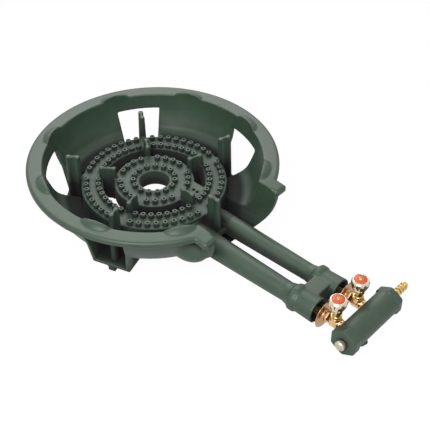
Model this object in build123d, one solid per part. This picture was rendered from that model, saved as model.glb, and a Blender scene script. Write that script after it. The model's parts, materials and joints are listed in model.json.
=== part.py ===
from build123d import *
import os
from math import cos, radians, sin, sqrt

# A double-ring cast iron gas stove. Lengths in millimetres, +Z up, the floor at zero height.
# Everything is modelled round the burner axis and moved to the middle of the footprint at the end.

# Windshield stand: flange and bowl
RIM_R = 180.0
RIM_IN_R = 157.0
RIM_Z = 104.0
FLANGE_T = 6.0
LIP_H = 9.0
LIP_ROUND = 4.0
WALL_T = 6.0
WALL_FOOT_Z = 40.5
WALL_ARC_R = 127.0
WALL_ARC_X = 30.2
WALL_ARC_Z = 112.4
ROOT_ROUND = 6.0

# Pot rests on the flange
REST_ANGLES = (32.0, 73.5, 115.0, 157.0)
REST_HALF_LENGTH = 22.0
REST_H = 6.0
REST_TOP_W = 5.0
REST_FOOT_W = 14.0

# Legs and windows, four of the five places round the burner
PLACES = 5
LEG_PLACES = (1, 2, 3, 4)
WINDOW_TOP_Z = 81.0
WINDOW_HALF = 33.0
CHANNEL_HALF_TOP = 28.5
CHANNEL_HALF_FOOT = 23.5
CHANNEL_TOP_Z = 56.0
LEG_PLATE_T = 5.0
LEG_FOOT_Z = 7.5
LEG_OUT_R = 136.0
LEG_PLATE_IN_R = 117.0
LEG_IN_R = 103.0
LEG_SLOPE = 0.21
NUB_L = 11.0
NUB_W = 11.0

# Front trough round the tubes' way out, its cheeks and the ears above it
GAP_HALF = 60.5
TROUGH_FOOT_Z = 9.5
TROUGH_ROUND = 52.0
TROUGH_TOP_Z = 90.0
TROUGH_IN_R = 112.0
LIP_OUT = 16.5
CHEEK_X = (112.0, 124.0, 143.0)
CHEEK_OUT = 7.5
CHEEK_Z = (35.0, 80.0)
CHEEK_ROUND = 8.0
EAR_W = 22.5
EAR_X = 180.0
EAR_DROP = 8.0
EAR_H = 10.0
EAR_CHAMFER = 4.0

# Burner rings
RING_Z = 61.5
OUTER_RING_FOOT_Z = 22.0
INNER_RING_FOOT_Z = 34.0
RING_WALL = 5.0
RING_TOP_T = 6.0
RING_CHAMFER = 3.0
OUTER_RING = (74.2, 105.3)
INNER_RING = (21.8, 58.2)

# Jets: row radius, jets between two fins
OUTER_JET_ROWS = ((98.5, 9), (80.5, 8))
INNER_JET_ROW = (49.5, 4)
CENTRE_ROW_R = 30.5
CENTRE_ROW_COUNT = 15
JET_R = 3.6
JET_H = 6.0
JET_HOLE_R = 1.4
JET_SIDES = 8
HOLE_SIDES = 6

# Pot fins
OUTER_FIN = (107.0, 128.0)
OUTER_FIN_Z = 96.0
INNER_FIN = (55.0, 80.0)
INNER_FIN_Z = 80.0
FIN_WEB_T = 4.5
FIN_BEAD_R = 3.6
FIN_DRAFT = 0.045

# Mixing tubes: radii at the root and at the throat
TUBE_Y = 23.5
TUBE_Z = 36.5
OUTER_TUBE_R = (16.8, 14.0)
INNER_TUBE_R = (14.3, 12.3)
OUTER_FLARE = 3.0
TUBE_WALL = 4.2
ROOT_X = 140.0
THROAT_X = 270.0
COLLAR_X = (278.5, 289.0)
COLLAR_R = 19.2
COLLAR_SLOPE = 4.0
MOUTH_X = (293.0, 321.0)
MOUTH_R = (17.0, 17.8)
MOUTH_BORE_R = 13.8
BAR_X = (300.0, 308.0)
BAR_W = 6.0
HUB_R = 8.0
BRIDGE_Y = (11.0, 35.0)
PILOT_X = (61.0, 69.0)
REAR_WEB_X = (100.0, 131.0)
REAR_WEB_T = 8.0
WEB_BOSS = (124.0, 11.0)
WEB_BOSS_R = 3.0
WEB_BOSS_H = 5.0
FRONT_WEB_X = (282.5, 309.0)
FRONT_WEB_H = 15.5
FOOT_X = (297.0, 309.0)
FOOT_HALF = 17.0

# Burner bolts
BOLT_R = 3.0
BOLT_LENGTH = 22.0
BOLT_HEAD_AF = 10.0
BOLT_HEAD_H = 4.0

# Nozzle, air shutter and lock nut
STEM_R = 5.0
STEM_TIP_X = 292.0
STEM_BORE_R = 2.2
ORIFICE_R = 0.6
SHUTTER_X = 329.5
SHUTTER_R = 18.8
SHUTTER_T = 1.6
SHUTTER_HUB_R = 8.6
SHUTTER_DEPTH = 5.2
LOCK_NUT_AF = 15.0
LOCK_NUT_T = 4.0
RUN = 0.05

# Valve
VALVE_X = 349.0
VALVE_R = 7.5
VALVE_ARM_R = 8.2
VALVE_NECK_R = 7.0
SOCKET_L = 1.5
TAIL_R = 6.0
TAIL_L = 9.0
SEAT_Z = 37.0
CHAMBER_R = 5.2
GAS_WAY_R = 2.0
INLET_Z = 33.2
OUTLET_R = 1.5
BONNET_Z = 46.0
BONNET_FLANGE_T = 2.0
BONNET_FLANGE_R = 7.0
BONNET_NECK_R = 4.8
BONNET_HEX_Z = 56.0
BONNET_AF = 14.0
SPIGOT_H = 2.5
GLAND_Z = 61.0
GLAND_AF = 11.0
GLAND_H = 2.5
PACKING_R = 4.6
PACKING_H = 3.0
SPINDLE_R = 3.0
JUMPER_R = 4.4
JUMPER_T = 2.2
PIN_R = 1.4
PIN_H = 2.8

# Knob, its cap and screw
KNOB_Z = 62.5
KNOB_TOP_Z = 78.5
KNOB_R = 12.3
KNOB_FOOT_R = 9.4
KNOB_HOLLOW_R = 7.2
KNOB_HOLLOW_H = 3.5
KNOB_LOBES = 8
FLUTE_R = 3.0
FLUTE_DEPTH = 1.4
CAP_R = 8.5
CAP_H = 3.6
CAP_RECESS = 2.5
SCREW_R = 1.45
SCREW_L = 11.0
SCREW_HEAD_R = 3.0
SCREW_HEAD_H = 1.4

# Manifold
MANIFOLD_X = 376.0
MANIFOLD_Z = 34.0
MANIFOLD_R = 18.0
MANIFOLD_Y = (-45.0, 60.0)
MANIFOLD_BORE_R = 9.0
MANIFOLD_END_T = 12.0
HEX_AF = 36.4
HEX_CORNER_R = 20.0
HEX_LENGTHS = (13.0, 10.0)
BOSS_R = 7.0
BOSS_H = 3.0
BOSS_Y = -15.0
BOSS_ANGLE = 35.0

# Plug and hose barb
THREAD_R = 5.0
THREAD_L = 10.0
PLUG_R = 7.0
PLUG_H = 8.5
PLUG_CHAMFER = 1.5
BARB_BORE_R = 2.5
BARB_FLANGE_R = 6.6
BARB_FLANGE_T = 3.0
BARB_R = 6.0
BARB_ROOT_R = 4.7
BARB_RIDGES = 5
BARB_PITCH = 6.0

# Middle of the footprint, measured from the burner axis
BOWL_X = (RIM_R - (MANIFOLD_X + HEX_AF / 2)) / 2


def turned_z(points, x=0.0, y=0.0):
    """A solid of revolution about a vertical line, from (radius, height) points."""
    face = make_face(Polyline(*points, close=True))
    return Pos(x, y, 0) * revolve(Plane.XZ * face, Axis.Z)


def turned_x(points, y=0.0, z=0.0):
    """A solid of revolution about a line along X, from (x, radius) points."""
    face = make_face(Polyline(*points, close=True))
    return Pos(0, y, z) * revolve(Plane.XZ * face, Axis.X)


def turned_y(points, x=0.0, z=0.0):
    """A solid of revolution about a line along Y, from (y, radius) points."""
    face = make_face(Polyline(*points, close=True))
    return Pos(x, 0, z) * revolve(Plane.YZ * face, Axis.Y)


def side_plate(points, half_width):
    """A plate seen from the side: (radius, height) points, given a width both ways across."""
    face = make_face(Polyline(*points, close=True))
    return extrude(Plane.XZ * face, half_width, both=True)


def cross_bar(points, start, end):
    """A bar along the radius from start to end, from (across, height) points."""
    face = make_face(Polyline(*points, close=True))
    return Pos(start, 0, 0) * extrude(Plane.YZ * face, end - start)


def block(low, high):
    """A box between two corners."""
    size = [b - a for a, b in zip(low, high)]
    middle = [(a + b) / 2 for a, b in zip(low, high)]
    return Pos(*middle) * Box(*size)


def at_angle(shape, angle):
    return Rot(0, 0, angle) * shape


def place_angle(place):
    return 360.0 / PLACES * place


def wall_r(z, offset=0.0):
    """Radius of the bowl's round wall at height z: its inner face, or one offset outwards."""
    return WALL_ARC_X + sqrt((WALL_ARC_R + offset) ** 2 - (WALL_ARC_Z - z) ** 2)


def wall_arc(low, high, offset=0.0, shift=0.0):
    """The wall's arc between two heights, for a profile, moved outwards by a shift."""
    heights = (low, (low + high) / 2, high)
    return ThreePointArc(*[(wall_r(z, offset) + shift, z) for z in heights])


# Windshield stand


def bowl():
    """Flange, lip and the outside of the bowl, still filled."""
    under = RIM_Z - FLANGE_T
    root = (wall_r(under, WALL_T), under)
    foot = (wall_r(WALL_FOOT_Z, WALL_T), WALL_FOOT_Z)
    edge = Polyline(
        foot,
        (0, WALL_FOOT_Z),
        (0, RIM_Z),
        (RIM_R, RIM_Z),
        (RIM_R, RIM_Z - LIP_H),
        (RIM_R - FLANGE_T, RIM_Z - LIP_H),
        (RIM_R - FLANGE_T, under),
        root,
    )
    face = make_face(edge + wall_arc(WALL_FOOT_Z, under, WALL_T))
    for corner, radius in (((RIM_R, RIM_Z), LIP_ROUND), (root, ROOT_ROUND)):
        vertex = face.vertices().sort_by_distance((*corner, 0))[0]
        face = fillet(vertex, radius)
    return revolve(Plane.XZ * face, Axis.Z)


def well():
    """The space inside the bowl, from under its foot to above the pot rests."""
    low = WALL_FOOT_Z - WALL_T
    top = RIM_Z + 2 * REST_H
    edge = Polyline((wall_r(low), low), (0, low), (0, top), (wall_r(top), top))
    return revolve(Plane.XZ * make_face(edge + wall_arc(low, top)), Axis.Z)


def pot_rest():
    """A low domed rest: a slice of a wide disc, with a face that slopes down to the flange."""
    disc_r = (REST_HALF_LENGTH**2 + REST_H**2) / (2 * REST_H)
    foot = RIM_Z - FLANGE_T / 2
    top = RIM_Z + REST_H
    disc = Pos(RIM_IN_R, 0, top - disc_r) * Rot(0, 90, 0) * Cylinder(disc_r, 4 * REST_FOOT_W)
    side = side_plate(
        [
            (RIM_IN_R - WALL_T, foot),
            (RIM_IN_R + REST_FOOT_W, foot),
            (RIM_IN_R + REST_FOOT_W, RIM_Z),
            (RIM_IN_R + REST_TOP_W, top),
            (RIM_IN_R - WALL_T, top),
        ],
        2 * REST_HALF_LENGTH,
    )
    return disc & side


def mirrored(points):
    """A closed outline from its right half, mirrored across the middle."""
    return points + [(-across, z) for across, z in reversed(points)]


def window(floor_z):
    """A window in the wall, wide above and as narrow as the leg's channel below."""
    points = [
        (CHANNEL_HALF_FOOT, floor_z),
        (CHANNEL_HALF_TOP, CHANNEL_TOP_Z),
        (WINDOW_HALF - 1.5, CHANNEL_TOP_Z + 4),
        (WINDOW_HALF, WINDOW_TOP_Z),
    ]
    return cross_bar(mirrored(points), LEG_IN_R - 20, RIM_IN_R + WALL_T)


def leg():
    """A box leg: two side plates and a floor, open to the outside, with a nub to stand on."""
    floor_z = LEG_FOOT_Z + LEG_PLATE_T
    merge_z = CHANNEL_TOP_Z + 6
    side = side_plate(
        [
            (LEG_IN_R, LEG_FOOT_Z),
            (LEG_OUT_R, LEG_FOOT_Z),
            (LEG_OUT_R + LEG_SLOPE * (merge_z - LEG_FOOT_Z), merge_z),
            (wall_r(merge_z) - 1, merge_z),
            (wall_r(WALL_FOOT_Z) - 1, WALL_FOOT_Z),
            (LEG_PLATE_IN_R, floor_z),
            (LEG_IN_R, floor_z),
        ],
        2 * WINDOW_HALF,
    )
    outline = cross_bar(
        mirrored([
            (CHANNEL_HALF_FOOT + LEG_PLATE_T, 0),
            (CHANNEL_HALF_TOP + LEG_PLATE_T, merge_z + 1),
        ]),
        LEG_IN_R - 1,
        RIM_IN_R,
    )
    nub_r = LEG_OUT_R - NUB_L / 2
    nub = loft([
        Pos(nub_r, 0, LEG_FOOT_Z + 1) * Rectangle(NUB_L, NUB_W),
        Pos(nub_r, 0, 0) * Rectangle(NUB_L - 1.5, NUB_W - 2),
    ])
    return (side & outline) - window(floor_z) + nub


def bolt_r():
    """Radius at which the burner bolts stand: the middle of the outer fins' feet."""
    return sum(OUTER_FIN) / 2


def round_channel(inset, end_x, top_z):
    """A bar along the tubes with a round-cornered underside, inset from the trough's outside."""
    half = GAP_HALF + WALL_T - inset
    low = TROUGH_FOOT_Z + inset
    face = make_face(Polyline((-half, top_z), (-half, low), (half, low), (half, top_z), close=True))
    face = fillet(face.vertices().group_by(Axis.Y)[0], TROUGH_ROUND - inset)
    start = TROUGH_IN_R / 2
    return Pos(start, 0, 0) * extrude(Plane.YZ * face, end_x - start)


def trough():
    """The trough still filled, with a lip that follows the bowl's round wall further out."""
    low = TROUGH_FOOT_Z
    high = TROUGH_TOP_Z
    under = RIM_Z - LIP_ROUND
    edge = Polyline(
        (wall_r(high, WALL_T) + LIP_OUT, high),
        (RIM_IN_R, under),
        (0, under),
        (0, low),
        (wall_r(low, WALL_T) + LIP_OUT, low),
    )
    face = make_face(edge + wall_arc(low, high, WALL_T, LIP_OUT))
    side = extrude(Plane.XZ * face, RIM_R, both=True)
    return round_channel(0, RIM_R + LIP_OUT, under) & side


def cheek(side):
    """The thick flank that blends the bowl into one side of the trough."""
    half = GAP_HALF + WALL_T
    low, high = CHEEK_Z
    back, middle, front = CHEEK_X
    inside = half - 2 * WALL_T
    flank = [(back, half + CHEEK_OUT), (middle, half + WALL_T), (front, half)]
    points = [(back, inside), *flank, (front, inside)]
    body = Pos(0, 0, low) * extrude(make_face(Polyline(*points, close=True)), high - low)
    edges = body.edges().filter_by(lambda e: e.center().Z < low + 0.01)
    body = fillet(edges.filter_by(lambda e: min(v.Y for v in e.vertices()) > half - 1), CHEEK_ROUND)
    return body if side > 0 else mirror(body, Plane.XZ)


def ear(side):
    """The drooping bar that carries the flange past its circle at one side of the gap."""
    outer = GAP_HALF + EAR_W
    root_x = RIM_IN_R - 18
    end_z = RIM_Z - EAR_DROP
    bar = side_plate(
        [
            (root_x, RIM_Z - EAR_H),
            (RIM_IN_R, RIM_Z - EAR_H),
            (EAR_X, end_z - EAR_H),
            (EAR_X, end_z),
            (RIM_IN_R - 5, RIM_Z),
            (root_x, RIM_Z),
        ],
        outer,
    )
    bar = bar & block((0, GAP_HALF, 0), (EAR_X, outer, RIM_Z))
    edges = bar.edges().filter_by(lambda e: abs(e.center().Y - outer) < 0.01)
    edges = edges.filter_by(lambda e: min(v.X for v in e.vertices()) > RIM_IN_R - 6)
    top_edge = edges.filter_by(lambda e: min(v.Z for v in e.vertices()) > end_z - 0.01)
    bar = chamfer(top_edge, EAR_CHAMFER)
    return bar if side > 0 else mirror(bar, Plane.XZ)


def windshield_stand():
    body = bowl() + trough()
    for side in (-1, 1):
        body += cheek(side)
        body += ear(side)
        for angle in REST_ANGLES:
            body += at_angle(pot_rest(), side * angle)
    body -= well()
    body -= round_channel(WALL_T, RIM_R + RIM_IN_R, RIM_Z + 2 * REST_H)
    body -= Cylinder(TROUGH_IN_R, 2 * WALL_FOOT_Z)
    for place in LEG_PLACES:
        body -= at_angle(window(LEG_FOOT_Z + LEG_PLATE_T), place_angle(place))
    return body


def stand_legs():
    """The four legs, which meet the bowl along the foot and the outside of its wall."""
    hole = Pos(bolt_r(), 0, LEG_FOOT_Z) * Cylinder(BOLT_R + 0.3, 4 * LEG_PLATE_T)
    shape = leg() - hole - bowl()
    return Compound([at_angle(shape, place_angle(place)) for place in LEG_PLACES])


# Burner bolts


def burner_bolts():
    """One hex bolt up through each leg floor."""
    head = extrude(RegularPolygon(BOLT_HEAD_AF / 2, 6, major_radius=False), BOLT_HEAD_H)
    shank = Pos(0, 0, BOLT_HEAD_H) * extrude(Circle(BOLT_R - RUN), BOLT_LENGTH)
    bolt = Pos(bolt_r(), 0, LEG_FOOT_Z - BOLT_HEAD_H) * (head + shank)
    return Compound([at_angle(bolt, place_angle(place)) for place in LEG_PLACES])


# Burner casting, in rings, tubes, mouths, webs, fins and jets that meet face to face


def ring(radii, foot_z, inset, top_z):
    """A ring with a flat top and chamfered lower corners, inset for the channel inside it."""
    low = foot_z + inset
    cut = RING_CHAMFER
    a = radii[0] + inset
    b = radii[1] - inset
    return turned_z([(a + cut, low), (b - cut, low), (b, low + cut), (b, top_z), (a, top_z), (a, low + cut)])


def fin(span, foot_z, top_z, root_r):
    """An upright pot fin: a web with a round bead at both ends, thicker towards its foot."""
    height = top_z - foot_z
    foot_half = FIN_WEB_T / 2 + FIN_DRAFT * height / 2
    web = mirrored([(foot_half, foot_z), (FIN_WEB_T / 2, top_z)])
    ends = (span[0] + FIN_BEAD_R, span[1] - FIN_BEAD_R)
    body = cross_bar(web, *ends)
    foot_r = FIN_BEAD_R + FIN_DRAFT * height / 2
    for r in ends:
        body += Pos(r, 0, foot_z + height / 2) * Cone(foot_r, FIN_BEAD_R, height)
    if root_r < span[0]:
        root = mirrored([(foot_half, foot_z), (foot_half, RING_Z - 2)])
        body += cross_bar(root, root_r, ends[0])
    return body


def tube(y, radii, start_x, flare):
    """A mixing tube: a flared root at the ring, a taper to the throat, a collar and a mouth."""
    root_r, throat_r = radii
    return turned_x(
        [
            (start_x, 0),
            (start_x, root_r + flare),
            (ROOT_X, root_r),
            (THROAT_X, throat_r),
            (COLLAR_X[0], throat_r + 2),
            (COLLAR_X[0] + COLLAR_SLOPE, COLLAR_R),
            (COLLAR_X[1], COLLAR_R),
            (MOUTH_X[0], MOUTH_R[0]),
            (MOUTH_X[1], MOUTH_R[1]),
            (MOUTH_X[1], 0),
        ],
        y,
        TUBE_Z,
    )


def tube_bore(y, radii, end_x, flare):
    """The gas way of a tube, from its ring to its mouth."""
    root_r, throat_r = [r - TUBE_WALL for r in radii]
    return turned_x(
        [
            (end_x, 0),
            (end_x, root_r + flare),
            (ROOT_X, root_r),
            (THROAT_X, throat_r),
            (COLLAR_X[0] + COLLAR_SLOPE, throat_r),
            (MOUTH_X[0], MOUTH_BORE_R),
            (MOUTH_X[1] + 5, MOUTH_BORE_R),
            (MOUTH_X[1] + 5, 0),
        ],
        y,
        TUBE_Z,
    )


def mouth_bar(y):
    """The upright bar across a mouth, with the hub that holds the nozzle."""
    reach = MOUTH_R[0] - 1
    low = (BAR_X[0], y - BAR_W / 2, TUBE_Z - reach)
    high = (BAR_X[1], y + BAR_W / 2, TUBE_Z + reach)
    hub = turned_x([(BAR_X[0], 0), (BAR_X[0], HUB_R), (BAR_X[1], HUB_R), (BAR_X[1], 0)], y, TUBE_Z)
    hole_r = STEM_R + RUN / 2
    hole = turned_x([(THROAT_X, 0), (THROAT_X, hole_r), (MOUTH_X[1], hole_r), (MOUTH_X[1], 0)], y, TUBE_Z)
    return block(low, high) + hub - hole


def sector_row(radius, count):
    """Jet centres of a row that leaves room at the fins, as (radius, angle)."""
    step = 360.0 / PLACES
    for place in range(PLACES):
        for k in range(1, count + 1):
            yield radius, step * place + step * k / (count + 1)


def outer_jet_places():
    for radius, count in OUTER_JET_ROWS:
        yield from sector_row(radius, count)


def inner_jet_places():
    """The row between the inner fins, and an even row round the centre hole."""
    yield from sector_row(*INNER_JET_ROW)
    for k in range(CENTRE_ROW_COUNT):
        yield CENTRE_ROW_R, 360.0 / CENTRE_ROW_COUNT * (k + 0.5)


def jets(places):
    """Raised jets on a ring's top, each with its hole."""
    jet = extrude(RegularPolygon(JET_R, JET_SIDES) - RegularPolygon(JET_HOLE_R, HOLE_SIDES), JET_H)
    return Compound([at_angle(Pos(radius, 0, RING_Z) * jet, angle) for radius, angle in places])


def drilled(body, places):
    """A ring's top with a hole under each of its jets."""
    hole = extrude(RegularPolygon(JET_HOLE_R, HOLE_SIDES), RING_TOP_T + 2)
    drill = Pos(0, 0, RING_Z - RING_TOP_T - 1) * hole
    return body - [at_angle(Pos(radius, 0, 0) * drill, angle) for radius, angle in places]


def full_ring(radii, foot_z):
    return ring(radii, foot_z, 0, RING_Z)


def channel(radii, foot_z):
    return ring(radii, foot_z, RING_WALL, RING_Z - RING_TOP_T)


def both_rings():
    """The space that the two rings fill, for cutting what meets them."""
    return full_ring(OUTER_RING, OUTER_RING_FOOT_Z) + full_ring(INNER_RING, INNER_RING_FOOT_Z)


def behind_collars():
    """The space behind the collars, where the tubes end and the mouths begin."""
    return block((-RIM_R, -RIM_R, 0), (COLLAR_X[0], RIM_R, RIM_Z))


def outer_feed():
    return tube(-TUBE_Y, OUTER_TUBE_R, OUTER_RING[1] - 4 * RING_WALL - 3, OUTER_FLARE)


def inner_feed():
    return tube(TUBE_Y, INNER_TUBE_R, INNER_RING[1] - 2 * RING_WALL - 2, 0)


def outer_feed_bore():
    return tube_bore(-TUBE_Y, OUTER_TUBE_R, OUTER_RING[0] + 2 * RING_WALL + 4, OUTER_FLARE - 1)


def inner_feed_bore():
    return tube_bore(TUBE_Y, INNER_TUBE_R, INNER_RING[0] + 4 * RING_WALL - 2, 0)


def outer_ring():
    """The hollow outer ring, with a sleeve through its channel for the inner ring's feed."""
    r = INNER_TUBE_R[0]
    ends = (INNER_RING[1], OUTER_FIN[1])
    sleeve = turned_x([(ends[0], 0), (ends[0], r), (ends[1], r), (ends[1], 0)], TUBE_Y, TUBE_Z)
    body = full_ring(OUTER_RING, OUTER_RING_FOOT_Z)
    body -= channel(OUTER_RING, OUTER_RING_FOOT_Z) - sleeve
    body -= outer_feed_bore()
    body -= inner_feed_bore()
    return drilled(body, outer_jet_places())


def inner_ring():
    body = full_ring(INNER_RING, INNER_RING_FOOT_Z) - channel(INNER_RING, INNER_RING_FOOT_Z)
    body -= inner_feed_bore()
    return drilled(body, inner_jet_places())


def outer_tube():
    """The mixing tube of the outer ring, up to its collar."""
    return (outer_feed() - both_rings() - outer_feed_bore()) & behind_collars()


def inner_tube():
    """The mixing tube of the inner ring, and its bridge from ring to ring with two pilot holes."""
    low = (INNER_RING[1] - RING_WALL, BRIDGE_Y[0], TUBE_Z)
    high = (OUTER_RING[0] + RING_WALL, BRIDGE_Y[1], RING_Z)
    body = inner_feed() + block(low, high) - both_rings() - inner_feed_bore()
    pilot = extrude(RegularPolygon(JET_HOLE_R, HOLE_SIDES), RING_Z - TUBE_Z + 1)
    for x in PILOT_X:
        body -= Pos(x, TUBE_Y - BAR_W, TUBE_Z) * pilot
    return body & behind_collars()


def outer_mouth():
    """The collar and mouth of the outer ring's tube, with the bar for its nozzle."""
    return outer_feed() - outer_feed_bore() - behind_collars() + mouth_bar(-TUBE_Y)


def inner_mouth():
    """The collar and mouth of the inner ring's tube, with the bar for its nozzle."""
    return inner_feed() - inner_feed_bore() - behind_collars() + mouth_bar(TUBE_Y)


def tube_webs():
    """The webs between the two tubes: one at the rings with a small boss, one over the mouths."""
    half = REAR_WEB_T / 2
    webs = block((REAR_WEB_X[0], -TUBE_Y, TUBE_Z - half), (REAR_WEB_X[1], TUBE_Y, TUBE_Z + half))
    webs += Pos(*WEB_BOSS, TUBE_Z) * extrude(Circle(WEB_BOSS_R), half + WEB_BOSS_H)
    webs += block((FRONT_WEB_X[0], -TUBE_Y, TUBE_Z), (FRONT_WEB_X[1], TUBE_Y, TUBE_Z + FRONT_WEB_H))
    return webs - both_rings() - outer_feed() - inner_feed()


def front_foot():
    """The foot under the mouths, below the web that joins them."""
    foot = block((FOOT_X[0], -FOOT_HALF, 0), (FOOT_X[1], FOOT_HALF, TUBE_Z))
    return foot - outer_feed() - inner_feed()


def outer_fins():
    """Tall fins round the outer ring: four stand on the leg floors, the front one on the web."""
    leg_floor = LEG_FOOT_Z + LEG_PLATE_T
    web_top = TUBE_Z + REAR_WEB_T / 2
    tapped = Pos(bolt_r(), 0, leg_floor - 1) * extrude(Circle(BOLT_R), BOLT_LENGTH - LEG_PLATE_T + 3)
    fins = []
    for place in range(PLACES):
        foot_z = leg_floor if place in LEG_PLACES else web_top
        shape = fin(OUTER_FIN, foot_z, OUTER_FIN_Z, OUTER_RING[1] - RING_CHAMFER) - both_rings()
        if place in LEG_PLACES:
            shape -= tapped
        fins.append(at_angle(shape, place_angle(place)))
    return Compound(fins)


def inner_fins():
    """Short fins that stand on both rings and fill the gap between them."""
    foot_z = INNER_RING_FOOT_Z + RING_CHAMFER
    shape = fin(INNER_FIN, foot_z, INNER_FIN_Z, INNER_FIN[0]) - both_rings()
    return Compound([at_angle(shape, place_angle(place)) for place in range(PLACES)])


# Gas train of one ring


def nozzle(y):
    """The threaded stem through the mouth bar, hollow, with a fine hole at its tip."""
    tip = STEM_TIP_X
    tail = VALVE_X - VALVE_R + SOCKET_L
    return turned_x(
        [
            (tip, ORIFICE_R),
            (tip, STEM_BORE_R),
            (tip + 6, STEM_R),
            (tail, STEM_R),
            (tail, STEM_BORE_R),
            (tip + 4, STEM_BORE_R),
            (tip + 3, ORIFICE_R),
        ],
        y,
        TUBE_Z,
    )


def air_shutter(y):
    """A dished disc with a round hub, on the stem."""
    bore = STEM_R + RUN
    face = SHUTTER_X + SHUTTER_T
    end = SHUTTER_X + SHUTTER_DEPTH
    return turned_x(
        [
            (SHUTTER_X, bore),
            (SHUTTER_X, SHUTTER_R - 1),
            (SHUTTER_X + SHUTTER_T / 2, SHUTTER_R),
            (face, SHUTTER_R - 0.4),
            (face, SHUTTER_HUB_R),
            (end - 1, SHUTTER_HUB_R - 1),
            (end, SHUTTER_HUB_R - 2.2),
            (end, bore),
        ],
        y,
        TUBE_Z,
    )


def hexagon(across_flats):
    return RegularPolygon(across_flats / 2, 6, major_radius=False)


def lock_nut(y):
    prism = extrude(hexagon(LOCK_NUT_AF) - Circle(STEM_R + RUN / 2), LOCK_NUT_T)
    return Pos(SHUTTER_X + SHUTTER_DEPTH, y, TUBE_Z) * Rot(0, 90, 0) * prism


def valve_body(y):
    """A brass body with an inlet from the manifold, a seat and an outlet to the nozzle."""
    out_x = VALVE_X - VALVE_R
    tail_x = MANIFOLD_X - MANIFOLD_R
    body = turned_x(
        [
            (out_x, 0),
            (out_x, STEM_R + 1.5),
            (out_x + 2, VALVE_ARM_R),
            (VALVE_X + VALVE_R - 2, VALVE_ARM_R),
            (VALVE_X + VALVE_R, VALVE_NECK_R),
            (tail_x, VALVE_NECK_R),
            (tail_x, TAIL_R),
            (tail_x + TAIL_L, TAIL_R),
            (tail_x + TAIL_L, 0),
        ],
        y,
        TUBE_Z,
    )
    boss = [(0, TUBE_Z), (VALVE_R, TUBE_Z), (VALVE_R, BONNET_Z - 1), (VALVE_R - 1, BONNET_Z), (0, BONNET_Z)]
    body += turned_z(boss, VALVE_X, y)
    body -= Pos(VALVE_X, y, SEAT_Z) * extrude(Circle(CHAMBER_R), BONNET_Z - SEAT_Z + 1)
    body -= Pos(VALVE_X, y, INLET_Z) * extrude(Circle(GAS_WAY_R), SEAT_Z - INLET_Z + 1)
    inlet = extrude(Circle(GAS_WAY_R), tail_x + TAIL_L + 1 - VALVE_X)
    body -= Pos(VALVE_X, y, INLET_Z) * Rot(0, 90, 0) * inlet
    socket = extrude(Circle(STEM_R + RUN / 2), SOCKET_L + 1)
    body -= Pos(out_x - 1, y, TUBE_Z) * Rot(0, 90, 0) * socket
    body -= Pos(out_x, y, SEAT_Z + OUTLET_R + 1) * Rot(0, 90, 0) * extrude(Circle(OUTLET_R), VALVE_R)
    return body


def bonnet(y):
    """The valve's cover: a spigot in the body, a flange, a neck and a hex with a cup for the packing."""
    body = turned_z([
        (0, BONNET_Z - SPIGOT_H),
        (CHAMBER_R - RUN / 2, BONNET_Z - SPIGOT_H),
        (CHAMBER_R - RUN / 2, BONNET_Z),
        (BONNET_FLANGE_R, BONNET_Z),
        (BONNET_FLANGE_R, BONNET_Z + BONNET_FLANGE_T),
        (BONNET_NECK_R, BONNET_Z + BONNET_FLANGE_T),
        (BONNET_NECK_R, BONNET_HEX_Z),
        (0, BONNET_HEX_Z),
    ])
    body += Pos(0, 0, BONNET_HEX_Z) * extrude(hexagon(BONNET_AF), GLAND_Z - BONNET_HEX_Z)
    body -= Pos(0, 0, SEAT_Z) * extrude(Circle(SPINDLE_R + RUN), GLAND_Z - SEAT_Z)
    body -= Pos(0, 0, GLAND_Z - PACKING_H) * extrude(Circle(PACKING_R), PACKING_H + 1)
    return Pos(VALVE_X, y, 0) * body


def packing(y):
    """A soft ring round the spindle, in the bonnet's cup."""
    ring_face = Circle(PACKING_R) - Circle(SPINDLE_R + RUN)
    return Pos(VALVE_X, y, GLAND_Z - PACKING_H) * extrude(ring_face, PACKING_H)


def gland_nut(y):
    """The small hex that presses on the packing."""
    return Pos(VALVE_X, y, GLAND_Z) * extrude(hexagon(GLAND_AF) - Circle(SPINDLE_R + RUN), GLAND_H)


def jumper(y):
    """The valve disc that closes on the seat, with a pin up into the spindle."""
    disc = Pos(VALVE_X, y, SEAT_Z) * extrude(Circle(JUMPER_R), JUMPER_T)
    pin = Pos(VALVE_X, y, SEAT_Z + JUMPER_T) * extrude(Circle(PIN_R), PIN_H)
    return disc + pin


def spindle(y):
    """The turning stem: a socket for the jumper's pin, a thread and a seat for the knob."""
    low = SEAT_Z + JUMPER_T + 2 * RUN
    top = KNOB_TOP_Z - 4
    body = turned_z([(0, low), (SPINDLE_R, low), (SPINDLE_R, top - 0.6), (SPINDLE_R - 0.6, top), (0, top)])
    body -= Pos(0, 0, low) * extrude(Circle(PIN_R + RUN), PIN_H + 0.4)
    screw_foot = KNOB_TOP_Z - SCREW_L
    body -= Pos(0, 0, screw_foot - 1) * extrude(Circle(SCREW_R + RUN), SCREW_L)
    return Pos(VALVE_X, y, 0) * body


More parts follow.
